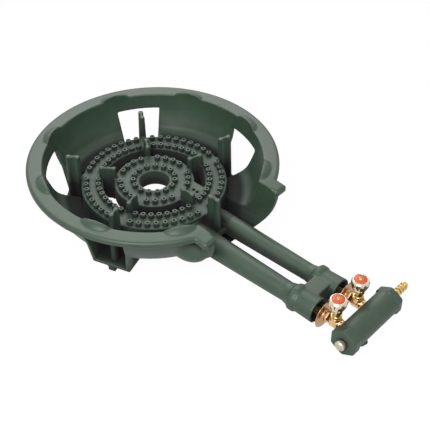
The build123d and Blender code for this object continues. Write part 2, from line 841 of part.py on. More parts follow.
def knob(y):
    """A fluted knob with a domed shoulder, a round recess on top and a hollow over the gland nut."""
    profile = turned_z([
        (0, KNOB_Z),
        (KNOB_FOOT_R, KNOB_Z),
        (KNOB_R - 0.8, KNOB_Z + 5.5),
        (KNOB_R, KNOB_Z + 9),
        (KNOB_R, KNOB_TOP_Z - 4.5),
        (KNOB_R - 2.4, KNOB_TOP_Z),
        (0, KNOB_TOP_Z),
    ])
    flute_r = KNOB_R + FLUTE_R - FLUTE_DEPTH
    flute = Pos(flute_r, 0, KNOB_Z - 1) * extrude(Circle(FLUTE_R), KNOB_TOP_Z - KNOB_Z - 1.5)
    for k in range(KNOB_LOBES):
        profile -= at_angle(flute, 360.0 / KNOB_LOBES * (k + 0.5))
    profile -= Pos(0, 0, KNOB_Z) * extrude(Circle(KNOB_HOLLOW_R), KNOB_HOLLOW_H)
    profile -= Pos(0, 0, KNOB_Z) * extrude(Circle(SPINDLE_R), KNOB_TOP_Z)
    profile -= Pos(0, 0, KNOB_TOP_Z - CAP_RECESS) * extrude(Circle(CAP_R + 2 * RUN), 2 * CAP_RECESS)
    return Pos(VALVE_X, y, 0) * profile


def knob_cap(y):
    """The coloured disc in the knob's top, slightly domed."""
    low = KNOB_TOP_Z - CAP_RECESS
    top = low + CAP_H
    hole = SCREW_R + 5 * RUN
    return turned_z([(hole, low), (CAP_R, low), (CAP_R, top - 1), (CAP_R - 3, top), (hole, top)], VALVE_X, y)


def knob_screw(y):
    """The screw through the cap into the spindle."""
    foot = KNOB_TOP_Z - SCREW_L
    head_z = KNOB_TOP_Z - CAP_RECESS + CAP_H
    top = head_z + SCREW_HEAD_H
    shank = [(0, foot), (SCREW_R, foot), (SCREW_R, head_z)]
    head = [(SCREW_HEAD_R, head_z), (SCREW_HEAD_R - 0.6, top), (0, top)]
    return turned_z(shank + head, VALVE_X, y)


# Manifold, its plug and the hose barb


def wrench_hex(start, end):
    """A hex round the manifold's end, with its corners turned down."""
    prism = extrude(Rot(0, 0, 30) * hexagon(HEX_AF), end - start)
    return Pos(MANIFOLD_X, end, MANIFOLD_Z) * Rot(90, 0, 0) * prism & bored_y(start, end, HEX_CORNER_R)


def bored_y(start, end, radius):
    """A plain cylinder along the manifold, for its body and its bores."""
    return turned_y([(start, 0), (start, radius), (end, radius), (end, 0)], MANIFOLD_X, MANIFOLD_Z)


def manifold():
    """A thick tube with wrench hexes at its ends, two valve ports and a small round boss."""
    low, high = MANIFOLD_Y
    body = bored_y(low, high, MANIFOLD_R)
    body += wrench_hex(low, low + HEX_LENGTHS[0]) + wrench_hex(high - HEX_LENGTHS[1], high)
    boss = Pos(0, 0, -MANIFOLD_R - BOSS_H) * extrude(Circle(BOSS_R), BOSS_H + 5)
    body += Pos(MANIFOLD_X, BOSS_Y, MANIFOLD_Z) * Rot(0, -BOSS_ANGLE, 0) * boss
    body -= bored_y(low + MANIFOLD_END_T, high - MANIFOLD_END_T, MANIFOLD_BORE_R)
    body -= bored_y(low - 1, high + 1, THREAD_R)
    port_r = TAIL_R + RUN
    port_x = MANIFOLD_X - MANIFOLD_R - TAIL_L
    for y in (-TUBE_Y, TUBE_Y):
        body -= turned_x([(port_x, 0), (port_x, port_r), (MANIFOLD_X, port_r), (MANIFOLD_X, 0)], y, TUBE_Z)
    return body


def manifold_plug():
    """A round-headed plug in the near end."""
    end = MANIFOLD_Y[0]
    thread = [(end + THREAD_L, 0), (end + THREAD_L, THREAD_R - RUN), (end, THREAD_R - RUN)]
    face = end - PLUG_H
    head = [(end, PLUG_R), (face + PLUG_CHAMFER, PLUG_R), (face, PLUG_R - PLUG_CHAMFER), (face, 0)]
    return turned_y(thread + head, MANIFOLD_X, MANIFOLD_Z)


def hose_barb():
    """A ridged spigot for a push-on hose, screwed into the manifold's end."""
    end = MANIFOLD_Y[1]
    y = end + BARB_FLANGE_T
    thread_r = THREAD_R - RUN
    points = [(end - THREAD_L, BARB_BORE_R), (end - THREAD_L, thread_r), (end, thread_r)]
    points += [(end, BARB_FLANGE_R), (y, BARB_FLANGE_R)]
    for _ in range(BARB_RIDGES):
        points += [(y, BARB_ROOT_R), (y + 1, BARB_ROOT_R), (y + 1.2, BARB_R), (y + 2.4, BARB_R)]
        y += BARB_PITCH
    points += [(y, BARB_ROOT_R), (y + 1.5, BARB_ROOT_R - 0.6), (y + 1.5, BARB_BORE_R)]
    return turned_y(points, MANIFOLD_X, MANIFOLD_Z)


def gas_train(y):
    return {
        "nozzle": nozzle(y),
        "air_shutter": air_shutter(y),
        "lock_nut": lock_nut(y),
        "valve_body": valve_body(y),
        "bonnet": bonnet(y),
        "packing": packing(y),
        "gland_nut": gland_nut(y),
        "jumper": jumper(y),
        "spindle": spindle(y),
        "knob": knob(y),
        "knob_cap": knob_cap(y),
        "knob_screw": knob_screw(y),
    }


def stove():
    pieces = {
        "windshield_stand": windshield_stand(),
        "stand_legs": stand_legs(),
        "outer_ring": outer_ring(),
        "inner_ring": inner_ring(),
        "outer_tube": outer_tube(),
        "inner_tube": inner_tube(),
        "outer_mouth": outer_mouth(),
        "inner_mouth": inner_mouth(),
        "tube_webs": tube_webs(),
        "front_foot": front_foot(),
        "outer_fins": outer_fins(),
        "inner_fins": inner_fins(),
        "outer_jets": jets(outer_jet_places()),
        "inner_jets": jets(inner_jet_places()),
        "burner_bolts": burner_bolts(),
        "manifold": manifold(),
        "manifold_plug": manifold_plug(),
        "hose_barb": hose_barb(),
    }
    for ring_name, y in (("outer", -TUBE_Y), ("inner", TUBE_Y)):
        for name, shape in gas_train(y).items():
            pieces[f"{ring_name}_{name}"] = shape
    return pieces


os.makedirs("parts", exist_ok=True)
for name, shape in stove().items():
    export_step(Pos(BOWL_X, 0, 0) * shape, f"parts/{name}.step")
    print(name, round(shape.volume / 1000, 2), "cm3")
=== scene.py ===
# %% [markdown]
# # A double-ring cast iron gas stove
# The stove is a windshield bowl on short legs with a two-ring burner inside it, two mixing tubes, and a
# row of valves on a manifold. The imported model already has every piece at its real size, so this lesson
# only makes the looks: soft cast edges, round jets, bright valves, and their finishes. Every new piece
# rides on the body of the nodes that it stands for, so the joints move it as well.

# %% Load the frame
import json
import math
import bpy
from mathutils import Matrix, Vector


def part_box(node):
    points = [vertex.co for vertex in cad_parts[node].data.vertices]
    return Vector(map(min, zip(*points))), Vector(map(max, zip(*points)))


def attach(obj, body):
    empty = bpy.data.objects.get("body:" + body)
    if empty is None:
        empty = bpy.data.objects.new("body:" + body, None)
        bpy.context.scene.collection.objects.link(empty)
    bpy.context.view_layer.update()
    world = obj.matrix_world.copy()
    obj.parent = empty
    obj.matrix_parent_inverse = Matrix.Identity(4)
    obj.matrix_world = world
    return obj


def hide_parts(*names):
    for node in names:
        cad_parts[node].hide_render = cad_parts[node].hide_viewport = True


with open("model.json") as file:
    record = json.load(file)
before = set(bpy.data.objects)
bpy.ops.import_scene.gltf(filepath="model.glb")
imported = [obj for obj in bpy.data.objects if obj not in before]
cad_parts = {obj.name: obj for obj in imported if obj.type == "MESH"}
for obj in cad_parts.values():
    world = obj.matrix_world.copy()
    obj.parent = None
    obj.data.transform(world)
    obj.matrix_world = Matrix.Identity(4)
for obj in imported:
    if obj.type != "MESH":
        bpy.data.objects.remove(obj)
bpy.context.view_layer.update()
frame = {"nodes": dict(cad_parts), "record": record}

# %% [markdown]
# ## Places and sizes
# Lengths are written in millimetres, measured from the burner axis and from the floor, the way a pattern
# maker would measure the real stove. Metres from the frame's origin would also do, but no number could then
# be checked with a ruler. The stand's own box says where the burner axis lies in the frame.

# %% Places
MM = 0.001
stand_low, stand_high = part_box("windshield_stand")
BURNER_X = (stand_low.x + stand_high.x) / 2
RINGS = {"outer": -1, "inner": 1}


def at(x, y, z):
    """A point in the frame, from millimetres along the tubes, across them and up from the floor."""
    return Vector((BURNER_X + x * MM, y * MM, z * MM))


def on_circle(radius, angle, z):
    """A point round the burner axis, at an angle in degrees."""
    bearing = math.radians(angle)
    return at(radius * math.cos(bearing), radius * math.sin(bearing), z)


print("burner axis at x =", round(BURNER_X, 4))

# %% [markdown]
# ## Selecting and adding
# An operator works on whatever is selected, so every step first selects its own object and nothing else. A
# shape could keep its place in its transform, but patterns are laid out from an object's origin and wouldn't
# run on from piece to piece. Here the place goes into the mesh, and all pieces share one origin.

# %% Selecting helpers
MERGE_WITHIN = 0.01


def choose(*objs):
    """Select these objects only, with the first one active."""
    bpy.ops.object.select_all(action="DESELECT")
    for obj in objs:
        obj.select_set(True)
    bpy.context.view_layer.objects.active = objs[0]


def settle(obj):
    """Leave edit mode and put the object's place into its mesh."""
    if bpy.context.object.mode == "EDIT":
        bpy.ops.object.mode_set(mode="OBJECT")
    choose(obj)
    bpy.ops.object.transform_apply(location=True, rotation=True, scale=True)
    return obj


def added(primitive, name, **values):
    """Add a primitive with its operator and name it."""
    bpy.ops.object.select_all(action="DESELECT")
    primitive(**values)
    obj = bpy.context.object
    obj.name = name
    return obj


def tidy_normals():
    """Merge doubles, drop stray edges and turn every face outwards."""
    bpy.ops.mesh.select_all(action="SELECT")
    bpy.ops.mesh.remove_doubles(threshold=MERGE_WITHIN * MM)
    bpy.ops.mesh.delete_loose(use_verts=True, use_edges=True, use_faces=False)
    bpy.ops.mesh.select_all(action="SELECT")
    bpy.ops.mesh.normals_make_consistent(inside=False)


print("nodes in the frame:", len(frame["nodes"]))

# %% [markdown]
# ## Shapes from an outline
# Most pieces are turned, or have one section all along. They could be pushed into shape from cylinders and
# cubes, but an outline says more in fewer steps: one vertex is extruded from point to point, and the outline
# is then spun round an axis, as on a lathe, or extruded, as through a die.

# %% Outline helpers
TRACE_WITHIN = 0.001


def trace(name, points):
    """Draw a closed outline: a plane merged to one vertex, which is extruded from point to point."""
    obj = added(bpy.ops.mesh.primitive_plane_add, name, size=MM, location=points[0])
    bpy.ops.object.mode_set(mode="EDIT")
    bpy.ops.mesh.merge(type="CENTER")
    for here, there in zip(points, points[1:] + points[:1]):
        bpy.ops.mesh.extrude_region_move(TRANSFORM_OT_translate={"value": there - here})
    bpy.ops.mesh.select_all(action="SELECT")
    bpy.ops.mesh.remove_doubles(threshold=TRACE_WITHIN * MM)
    return obj


def turned(name, points, centre, axis, steps):
    """Spin a closed outline once round an axis."""
    obj = trace(name, points)
    bpy.ops.mesh.spin(steps=steps, angle=math.tau, center=centre, axis=axis)
    tidy_normals()
    return settle(obj)


def die(name, points, travel):
    """Fill a closed outline and extrude it by a travel in millimetres."""
    obj = trace(name, points)
    bpy.ops.mesh.edge_face_add()
    move = Vector([step * MM for step in travel])
    bpy.ops.mesh.extrude_region_move(TRANSFORM_OT_translate={"value": move})
    tidy_normals()
    return settle(obj)


print("vertices merge within", MERGE_WITHIN, "mm")

# %% Lathes along three lines
UPRIGHT_STEPS = 96
LYING_STEPS = 64


def turned_upright(name, points, x=0.0, y=0.0, steps=UPRIGHT_STEPS):
    """Turn (radius, height) points about an upright line."""
    return turned(name, [at(x + r, y, z) for r, z in points], at(x, y, 0), (0, 0, 1), steps)


def turned_along(name, points, y, z, steps=LYING_STEPS):
    """Turn (x, radius) points about a line along the tubes."""
    return turned(name, [at(x, y, z + r) for x, r in points], at(0, y, z), (1, 0, 0), steps)


def turned_across(name, points, x, z, steps=LYING_STEPS):
    """Turn (y, radius) points about a line across the tubes."""
    return turned(name, [at(x, y, z + r) for y, r in points], at(x, 0, z), (0, 1, 0), steps)


def rod(radius, low, high):
    """(radius, height) points of a plain round bar."""
    return [(0, low), (radius, low), (radius, high), (0, high)]


def lying_rod(radius, start, end):
    """(length, radius) points of a plain round bar that lies down."""
    return [(length, r) for r, length in rod(radius, start, end)]


print("a lathe takes", UPRIGHT_STEPS, "steps upright and", LYING_STEPS, "lying down")

# %% [markdown]
# ## Blocks, balls and cones
# A few forms of the stove are plain solids: blocks between two corners, flattened balls, and cones. They
# could be outlines too, but a primitive is quicker, and stretching a ball gives every bulge that is needed.

# %% Primitive helpers
BALL_SEGMENTS = 64
BALL_RINGS = 32


def box(name, low, high):
    """A block between two corners."""
    middle = [(a + b) / 2 for a, b in zip(low, high)]
    block = added(bpy.ops.mesh.primitive_cube_add, name, size=1, location=at(*middle))
    block.scale = [(b - a) * MM for a, b in zip(low, high)]
    return settle(block)


def ball(name, place, size):
    """A ball stretched to three half widths."""
    sphere = bpy.ops.mesh.primitive_uv_sphere_add
    made = added(sphere, name, segments=BALL_SEGMENTS, ring_count=BALL_RINGS, location=at(*place))
    made.scale = [half * MM for half in size]
    return settle(made)


def cone(name, place, foot_r, top_r, height, sides=32, tilt=0.0):
    """A cone or a cylinder about its middle, tilted along the tubes by an angle in degrees."""
    return added(
        bpy.ops.mesh.primitive_cone_add,
        name,
        vertices=sides,
        radius1=foot_r * MM,
        radius2=top_r * MM,
        depth=height * MM,
        location=place,
        rotation=(0, math.radians(tilt), 0),
    )


print("a ball has", BALL_SEGMENTS, "by", BALL_RINGS, "faces")

# %% [markdown]
# ## Cutting, copying and joining
# Holes and hollows are cut with a boolean, whose modifier is applied at once, so that the next cut finds a
# plain mesh. What repeats round the burner, such as a leg, could be an array. It is modelled once and turned
# copies are made of it, because each copy then has a mesh of its own.

# %% Joining helpers
SOLVER = "EXACT"


def apply_all(obj):
    """Apply every modifier of an object, in order."""
    choose(obj)
    for modifier in list(obj.modifiers):
        bpy.ops.object.modifier_apply(modifier=modifier.name)
    return obj


def combine(obj, other, operation):
    """Add, cut or intersect with another object, which is used up."""
    modifier = obj.modifiers.new(operation.lower(), "BOOLEAN")
    modifier.operation = operation
    modifier.solver = SOLVER
    modifier.object = other
    apply_all(obj)
    bpy.data.objects.remove(other)
    return obj


def turn(obj, angle):
    """Turn an object round the burner axis, and put the turn into its mesh."""
    spin = Matrix.Translation(at(0, 0, 0)) @ Matrix.Rotation(math.radians(angle), 4, "Z")
    obj.matrix_world = spin @ Matrix.Translation(-at(0, 0, 0)) @ obj.matrix_world
    return settle(obj)


def copy_of(obj, name):
    """A copy with its own mesh."""
    twin = obj.copy()
    twin.data = obj.data.copy()
    twin.name = name
    bpy.context.collection.objects.link(twin)
    return twin


def joined(name, objs):
    """Several objects as one."""
    choose(*objs)
    if len(objs) > 1:
        bpy.ops.object.join()
    objs[0].name = name
    return settle(objs[0])


print("booleans are cut with the", SOLVER, "solver")

# %% [markdown]
# ## Casting and easing
# A casting has soft edges inside and out, and a machined piece has narrow bright ones. A bevel alone can't
# round the corners where many shapes of a casting meet, so castings get a voxel skin that melts the shapes
# together and is then smoothed. Machined pieces keep their faces and get a narrow bevel.

# %% Softening and finishing helpers
EDGE_ANGLE = 28.0
SMOOTH_FACTOR = 0.5


def cast(obj, voxel, keep=1.0, rounds=4):
    """Give a shape the soft edges of a casting: an even skin of small faces, smoothed, then thinned out."""
    remesh = obj.modifiers.new("skin", "REMESH")
    remesh.mode = "VOXEL"
    remesh.voxel_size = voxel * MM
    smooth = obj.modifiers.new("soften", "SMOOTH")
    smooth.factor = SMOOTH_FACTOR
    smooth.iterations = rounds
    if keep < 1:
        thin = obj.modifiers.new("thin", "DECIMATE")
        thin.ratio = keep
    apply_all(obj)
    bpy.ops.object.shade_smooth()
    return obj


def eased(obj, width, segments=2):
    """Round the sharp edges of a machined piece."""
    bevel = obj.modifiers.new("ease", "BEVEL")
    bevel.width = width * MM
    bevel.segments = segments
    bevel.limit_method = "ANGLE"
    bevel.angle_limit = math.radians(EDGE_ANGLE)
    apply_all(obj)
    bpy.ops.object.shade_smooth_by_angle(angle=math.radians(EDGE_ANGLE))
    return obj


def piece(obj, body, slot, material, *nodes):
    """Finish a piece: its paint, the body that it rides on and the nodes that it stands for."""
    obj.data.materials.clear()
    obj.data.materials.append(material)
    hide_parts(*nodes)
    print(obj.name, "has", len(obj.data.polygons), "faces and stands for", ", ".join(nodes))
    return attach(obj, body)


print("edges over", EDGE_ANGLE, "degrees count as sharp")

# %% [markdown]
# ## Shared surface effects
# Castings, brass and plating all have a grain, and all of them are a little uneven. The iron also gets
# painted
# shade: its colour is darker and its gloss duller in deep corners and low round the burner. Each material
# could hold its own copy of these nodes, but a node group is built once, and every material uses it with its
# own values.

# %% Surface grain
COARSE_SCALE = 0.16


def node(tree, kind, place, **values):
    """Add a node, set its options and the values of its inputs."""
    made = tree.nodes.new(kind)
    made.location = place
    for key, value in values.items():
        if key in made.inputs:
            made.inputs[key].default_value = value
        else:
            setattr(made, key, value)
    return made


def new_group(name, inputs, outputs):
    """An empty node group with number sockets."""
    group = bpy.data.node_groups.new(name, "ShaderNodeTree")
    for key, value in inputs.items():
        socket = group.interface.new_socket(key, in_out="INPUT", socket_type="NodeSocketFloat")
        socket.default_value = value
    for key in outputs:
        group.interface.new_socket(key, in_out="OUTPUT", socket_type="NodeSocketFloat")
    return group


def grain_group():
    """Noise at three sizes: two of them make Height for bumps, one makes Patch for slow changes."""
    inputs = {"Grain": 900.0, "Patches": 40.0, "Coarse": 0.35}
    group = new_group("surface_grain", inputs, ["Height", "Patch"])
    links = group.links
    enter = node(group, "NodeGroupInput", (-600, 0))
    leave = node(group, "NodeGroupOutput", (600, 0))
    place = node(group, "ShaderNodeTexCoord", (-600, 300))
    fine = node(group, "ShaderNodeTexNoise", (-300, 300), Detail=3.0, Roughness=0.6)
    coarse = node(group, "ShaderNodeTexNoise", (-300, 0), Detail=2.0)
    patch = node(group, "ShaderNodeTexNoise", (-300, -300), Detail=4.0, Roughness=0.6)
    wider = node(group, "ShaderNodeMath", (-450, 0), operation="MULTIPLY")
    wider.inputs[1].default_value = COARSE_SCALE
    blend = node(group, "ShaderNodeMix", (200, 150), data_type="FLOAT")
    for noise in (fine, coarse, patch):
        links.new(place.outputs["Object"], noise.inputs["Vector"])
    links.new(enter.outputs["Grain"], fine.inputs["Scale"])
    links.new(enter.outputs["Grain"], wider.inputs[0])
    links.new(wider.outputs[0], coarse.inputs["Scale"])
    links.new(enter.outputs["Patches"], patch.inputs["Scale"])
    links.new(enter.outputs["Coarse"], blend.inputs[0])
    links.new(fine.outputs["Fac"], blend.inputs[2])
    links.new(coarse.outputs["Fac"], blend.inputs[3])
    links.new(blend.outputs[0], leave.inputs["Height"])
    links.new(patch.outputs["Fac"], leave.inputs["Patch"])
    return group


SURFACE_GRAIN = grain_group()
print("grain sockets:", [socket.name for socket in SURFACE_GRAIN.interface.items_tree])

# %% Painted shade in corners
# Painted shade: how far off corners darken a place, and how the shade low round the burner fades out.
CORNER_REACH = 45.0
SHADE_FADE = 8.0
SHADE_LEAST = 0.12
BURNER_SHADE_Z = 46.0
STAND_SHADE_Z = 58.0


def painted_shade_group():
    """Painted shade: how open a place is, which is little in deep corners and low round the burner."""
    inputs = {"Deep": 0.42, "Free": 0.84, "Least": 0.06}
    inputs |= {"Shade Radius": 126 * MM, "Shade Height": BURNER_SHADE_Z * MM}
    group = new_group("painted_crevice_shade", inputs, ["Open"])
    links = group.links
    enter = node(group, "NodeGroupInput", (-900, 0))
    leave = node(group, "NodeGroupOutput", (600, 0))
    around = node(group, "ShaderNodeAmbientOcclusion", (-600, 300), samples=8, Distance=CORNER_REACH * MM)
    level = node(group, "ShaderNodeMapRange", (0, 300))
    links.new(around.outputs["AO"], level.inputs["Value"])
    links.new(enter.outputs["Deep"], level.inputs["From Min"])
    links.new(enter.outputs["Free"], level.inputs["From Max"])
    links.new(enter.outputs["Least"], level.inputs["To Min"])
    place = node(group, "ShaderNodeTexCoord", (-900, -300))
    axis = node(group, "ShaderNodeVectorMath", (-700, -300), operation="SUBTRACT")
    axis.inputs[1].default_value = (BURNER_X, 0, 0)
    flat = node(group, "ShaderNodeVectorMath", (-500, -200), operation="MULTIPLY")
    flat.inputs[1].default_value = (1, 1, 0)
    radius = node(group, "ShaderNodeVectorMath", (-300, -200), operation="LENGTH")
    height = node(group, "ShaderNodeSeparateXYZ", (-500, -400))
    links.new(place.outputs["Object"], axis.inputs[0])
    links.new(axis.outputs[0], flat.inputs[0])
    links.new(flat.outputs[0], radius.inputs[0])
    links.new(axis.outputs[0], height.inputs[0])
    unshaded = node(group, "ShaderNodeMath", (200, -300), operation="MAXIMUM")
    limits = ((radius.outputs["Value"], "Shade Radius"), (height.outputs["Z"], "Shade Height"))
    for k, (value, limit) in enumerate(limits):
        past = node(group, "ShaderNodeMath", (-150, -200 - 200 * k), operation="SUBTRACT")
        fade = node(group, "ShaderNodeMapRange", (0, -200 - 200 * k))
        fade.inputs["From Max"].default_value = SHADE_FADE * MM
        fade.inputs["To Min"].default_value = SHADE_LEAST
        links.new(value, past.inputs[0])
        links.new(enter.outputs[limit], past.inputs[1])
        links.new(past.outputs[0], fade.inputs["Value"])
        links.new(fade.outputs["Result"], unshaded.inputs[k])
    both = node(group, "ShaderNodeMath", (400, 0), operation="MULTIPLY")
    links.new(level.outputs["Result"], both.inputs[0])
    links.new(unshaded.outputs[0], both.inputs[1])
    links.new(both.outputs[0], leave.inputs["Open"])
    return group


PAINTED_SHADE = painted_shade_group()
print("corner sockets:", [socket.name for socket in PAINTED_SHADE.interface.items_tree])

# %% [markdown]
# ## Finishes
# The castings wear a dark green semi-gloss paint that follows the sandy skin of the iron. The brass differs
# from piece to piece, and the nozzle stems get an almost black brass as painted shade inside the mouths. The
# knobs are brightly plated under an orange-red cap, and the plug and the bolts are dull zinc. Plain colours
# would look like plastic, so each finish drifts between two colours and two roughnesses in patches, over a
# bump that is far too low to change a size.

# %% Material helpers
FINE_GRAIN = 1500
FINE_PATCHES = 160


def finish(name, dark, light, rough, bump, grain, patches=40, metallic=0.0):
    """A material whose colour and roughness drift between two values over a fine bump."""
    material = bpy.data.materials.new(name)
    material.use_nodes = True
    tree = material.node_tree
    links = tree.links
    shader = tree.nodes["Principled BSDF"]
    shader.inputs["Metallic"].default_value = metallic
    surface = node(tree, "ShaderNodeGroup", (-700, 0), node_tree=SURFACE_GRAIN)
    surface.inputs["Grain"].default_value = grain
    surface.inputs["Patches"].default_value = patches
    colours = node(tree, "ShaderNodeValToRGB", (-450, 200))
    for stop, position, colour in zip(colours.color_ramp.elements, (0.3, 0.7), (dark, light)):
        stop.position = position
        stop.color = (*colour, 1)
    gloss = node(tree, "ShaderNodeMapRange", (-450, -100))
    gloss.inputs["To Min"].default_value = rough[0]
    gloss.inputs["To Max"].default_value = rough[1]
    relief = node(tree, "ShaderNodeBump", (-250, -300), Strength=1.0, Distance=bump * MM)
    links.new(surface.outputs["Patch"], colours.inputs["Fac"])
    links.new(surface.outputs["Patch"], gloss.inputs["Value"])
    links.new(surface.outputs["Height"], relief.inputs["Height"])
    links.new(colours.outputs["Color"], shader.inputs["Base Color"])
    links.new(gloss.outputs["Result"], shader.inputs["Roughness"])
    links.new(relief.outputs["Normal"], shader.inputs["Normal"])
    return material


def metal(name, dark, light, rough, bump=0.01, patches=FINE_PATCHES):
    """A bare or plated metal with a fine grain."""
    return finish(name, dark, light, rough, bump, FINE_GRAIN, patches, 1.0)


def paint_corner_shade(material, shade_height):
    """Paint shade into deep corners and low down: the colour darker and the gloss duller than elsewhere."""
    tree = material.node_tree
    links = tree.links
    shader = tree.nodes["Principled BSDF"]
    colours = shader.inputs["Base Color"].links[0].from_socket
    gloss = shader.inputs["Roughness"].links[0].from_socket
    corner = node(tree, "ShaderNodeGroup", (-450, 500), node_tree=PAINTED_SHADE)
    corner.inputs["Shade Height"].default_value = shade_height * MM
    tint = node(tree, "ShaderNodeMix", (-150, 300), data_type="RGBA", blend_type="MULTIPLY")
    tint.inputs[0].default_value = 1.0
    dull = node(tree, "ShaderNodeMix", (-150, 500), data_type="FLOAT")
    dull.inputs[2].default_value = 1.0
    links.new(colours, tint.inputs[6])
    links.new(corner.outputs["Open"], tint.inputs[7])
    links.new(tint.outputs[2], shader.inputs["Base Color"])
    links.new(corner.outputs["Open"], dull.inputs[0])
    links.new(gloss, dull.inputs[3])
    links.new(dull.outputs[0], shader.inputs["Roughness"])


print("node groups:", [group.name for group in bpy.data.node_groups])

# %% Paint, metals and lacquer
GREEN = ((0.021, 0.042, 0.025), (0.029, 0.054, 0.033), (0.42, 0.54), 0.10, 700)
ORANGE_RED = ((0.42, 0.050, 0.006), (0.52, 0.072, 0.010), (0.28, 0.42), 0.008, FINE_GRAIN, FINE_PATCHES)
GRAPHITE = ((0.02, 0.02, 0.02), (0.04, 0.04, 0.04), (0.6, 0.8), 0.02, FINE_GRAIN)
IRON = finish("green_painted_iron", *GREEN)
# The stand keeps its own copy of the green only so that its painted shade reaches higher.
STAND_IRON = finish("green_stand_iron", *GREEN)
BRASS = metal("warm_brass", (0.60, 0.35, 0.17), (0.80, 0.53, 0.29), (0.2, 0.36))
COPPERY = metal("coppery_plating", (0.36, 0.20, 0.095), (0.54, 0.32, 0.16), (0.24, 0.4), 0.012, 120)
YELLOW_BRASS = metal("yellow_brass", (0.58, 0.40, 0.15), (0.78, 0.58, 0.26), (0.2, 0.34))
OLIVE_BRASS = metal("olive_brass", (0.42, 0.29, 0.10), (0.60, 0.44, 0.19), (0.22, 0.38))
# Painted shade: an almost black brass for the nozzle stems, which sit deep in the shaded mouths.
SHADED_STEM_BRASS = metal("stem_brass_painted_shade", (0.055, 0.04, 0.026), (0.10, 0.07, 0.042), (0.45, 0.6), 0.012)
CHROME = metal("bright_plating", (0.62, 0.52, 0.40), (0.77, 0.67, 0.53), (0.1, 0.22), 0.006)
RED = finish("orange_red_lacquer", *ORANGE_RED)
ZINC = metal("dull_zinc", (0.47, 0.41, 0.32), (0.62, 0.55, 0.44), (0.36, 0.5), 0.012)
YELLOW_ZINC = metal("yellow_zinc", (0.42, 0.27, 0.12), (0.58, 0.40, 0.19), (0.26, 0.4))
RUBBER = finish("graphite_packing", *GRAPHITE)
# Painted shade: both irons get a darker colour and a duller gloss in deep corners and low down.
paint_corner_shade(IRON, BURNER_SHADE_Z)
paint_corner_shade(STAND_IRON, STAND_SHADE_Z)
FINISHES = {
    "painted_iron": IRON,
    "brass": BRASS,
    "chrome": CHROME,
    "red_cap": RED,
    "steel": ZINC,
    "packing": RUBBER,
}
for part in frame["record"]["subparts"]:
    cad_node = frame["nodes"][part["node"]]
    cad_node.data.materials.clear()
    cad_node.data.materials.append(FINISHES[part["material_slot"]])
print("finishes:", sorted(FINISHES))

# %% [markdown]
# ## The bowl of the windshield stand
# The stand keeps the wind off the flames. It is one casting: a round bowl wall under a wide flange, four box
# legs below tall windows, and a trough at the front where the tubes leave. It could be carved out of one
# block, but it is easier to check as closed shapes that overlap a little and are melted together at the end.
# The first shape is the bowl, turned from an outline that follows the arc of its wall.

# %% Bowl wall
RIM_R = 180.0
RIM_IN_R = 157.0
RIM_Z = 104.0
FLANGE_T = 6.0
FLANGE_FILLET = (4.0, 5.0)
LIP_H = 9.0
LIP_ROUND = 4.0
WALL_T = 6.0
WALL_FOOT_Z = 40.5
FLOOR_Z = 44.5
FLOOR_IN_R = 106.2
CORNER_Z = 54.0
WALL_ARC_R = 127.0
WALL_ARC_X = 30.2
WALL_ARC_Z = 112.4
REST_H = 6.6
BOWL_STEPS = 160


def wall_r(z, offset=0.0):
    """Radius of the bowl's round wall at a height: its inner face, or one offset outwards."""
    return WALL_ARC_X + math.sqrt((WALL_ARC_R + offset) ** 2 - (WALL_ARC_Z - z) ** 2)


def wall_curve(low, high, offset=0.0, shift=0.0, count=12):
    """Points up the wall's arc."""
    heights = [low + (high - low) * k / count for k in range(count + 1)]
    return [(wall_r(z, offset) + shift, z) for z in heights]


def quarter(centre, radius, start, count=5):
    """Points on a quarter circle, from a start angle in degrees, turning clockwise."""
    angles = [math.radians(start - 90 * k / count) for k in range(count + 1)]
    return [(centre[0] + radius * math.cos(a), centre[1] + radius * math.sin(a)) for a in angles]


def floor_corner(count=8):
    """Points down the wide inner corner from the wall to the edge of the bowl's floor."""
    start = (wall_r(CORNER_Z), CORNER_Z)
    bend = (wall_r(FLOOR_Z) - 2, FLOOR_Z - 1)
    end = (FLOOR_IN_R, FLOOR_Z)
    points = []
    for k in range(count + 1):
        t = k / count
        weights = ((1 - t) ** 2, 2 * t * (1 - t), t**2)
        points.append(tuple(sum(w * v for w, v in zip(weights, values)) for values in zip(start, bend, end)))
    return points


def bowl():
    """The wall, the flange with its turned-down lip, and a narrow floor that ends close to the burner."""
    under = RIM_Z - FLANGE_T
    outline = wall_curve(WALL_FOOT_Z, under - FLANGE_FILLET[1], WALL_T)
    outline += [(wall_r(under, WALL_T) + FLANGE_FILLET[0], under)]
    outline += [(RIM_R - FLANGE_T, under), (RIM_R - FLANGE_T, RIM_Z - LIP_H), (RIM_R, RIM_Z - LIP_H)]
    outline += quarter((RIM_R - LIP_ROUND, RIM_Z - LIP_ROUND), LIP_ROUND, 90)[::-1]
    outline += wall_curve(CORNER_Z, RIM_Z)[::-1] + floor_corner()[1:] + [(FLOOR_IN_R, WALL_FOOT_Z)]
    return turned_upright("bowl", outline, steps=BOWL_STEPS)


def well():
    """The space inside the bowl, which everything else keeps clear of."""
    top = RIM_Z + 3 * REST_H
    outline = [(0, FLOOR_Z)] + wall_curve(FLOOR_Z, top) + [(0, top)]
    return turned_upright("well", outline, steps=BOWL_STEPS)


print("bowl radius:", round(wall_r(FLOOR_Z)), "mm at its floor and", round(wall_r(RIM_Z)), "mm at its rim")

# %% [markdown]
# ## The trough
# The tubes leave the bowl through an open trough with a round bottom, whose lip leans outwards like the wall.
# Its lip could be drawn point by point. Here a bar with a round underside is intersected with the wall's own
# curve, moved further out, so the lip follows the bowl by itself. A slanted cut then sweeps back its low
# left corner, which on a rough casting like this isn't quite like the right one.

# %% Trough
GAP_HALF = 60.5
TROUGH_FOOT_Z = 9.5
TROUGH_ROUND = 52.0
TROUGH_TOP_Z = 90.0
TROUGH_IN_R = 97.0
TROUGH_START = 20.0
LIP_OUT = 16.5
LIP_EDGE = 9.0
LIP_SEGMENTS = 5
LIP_CORNER = (137.0, -63.0, 30.0)
LIP_SWEEP = (0.681, -0.27, -0.682)


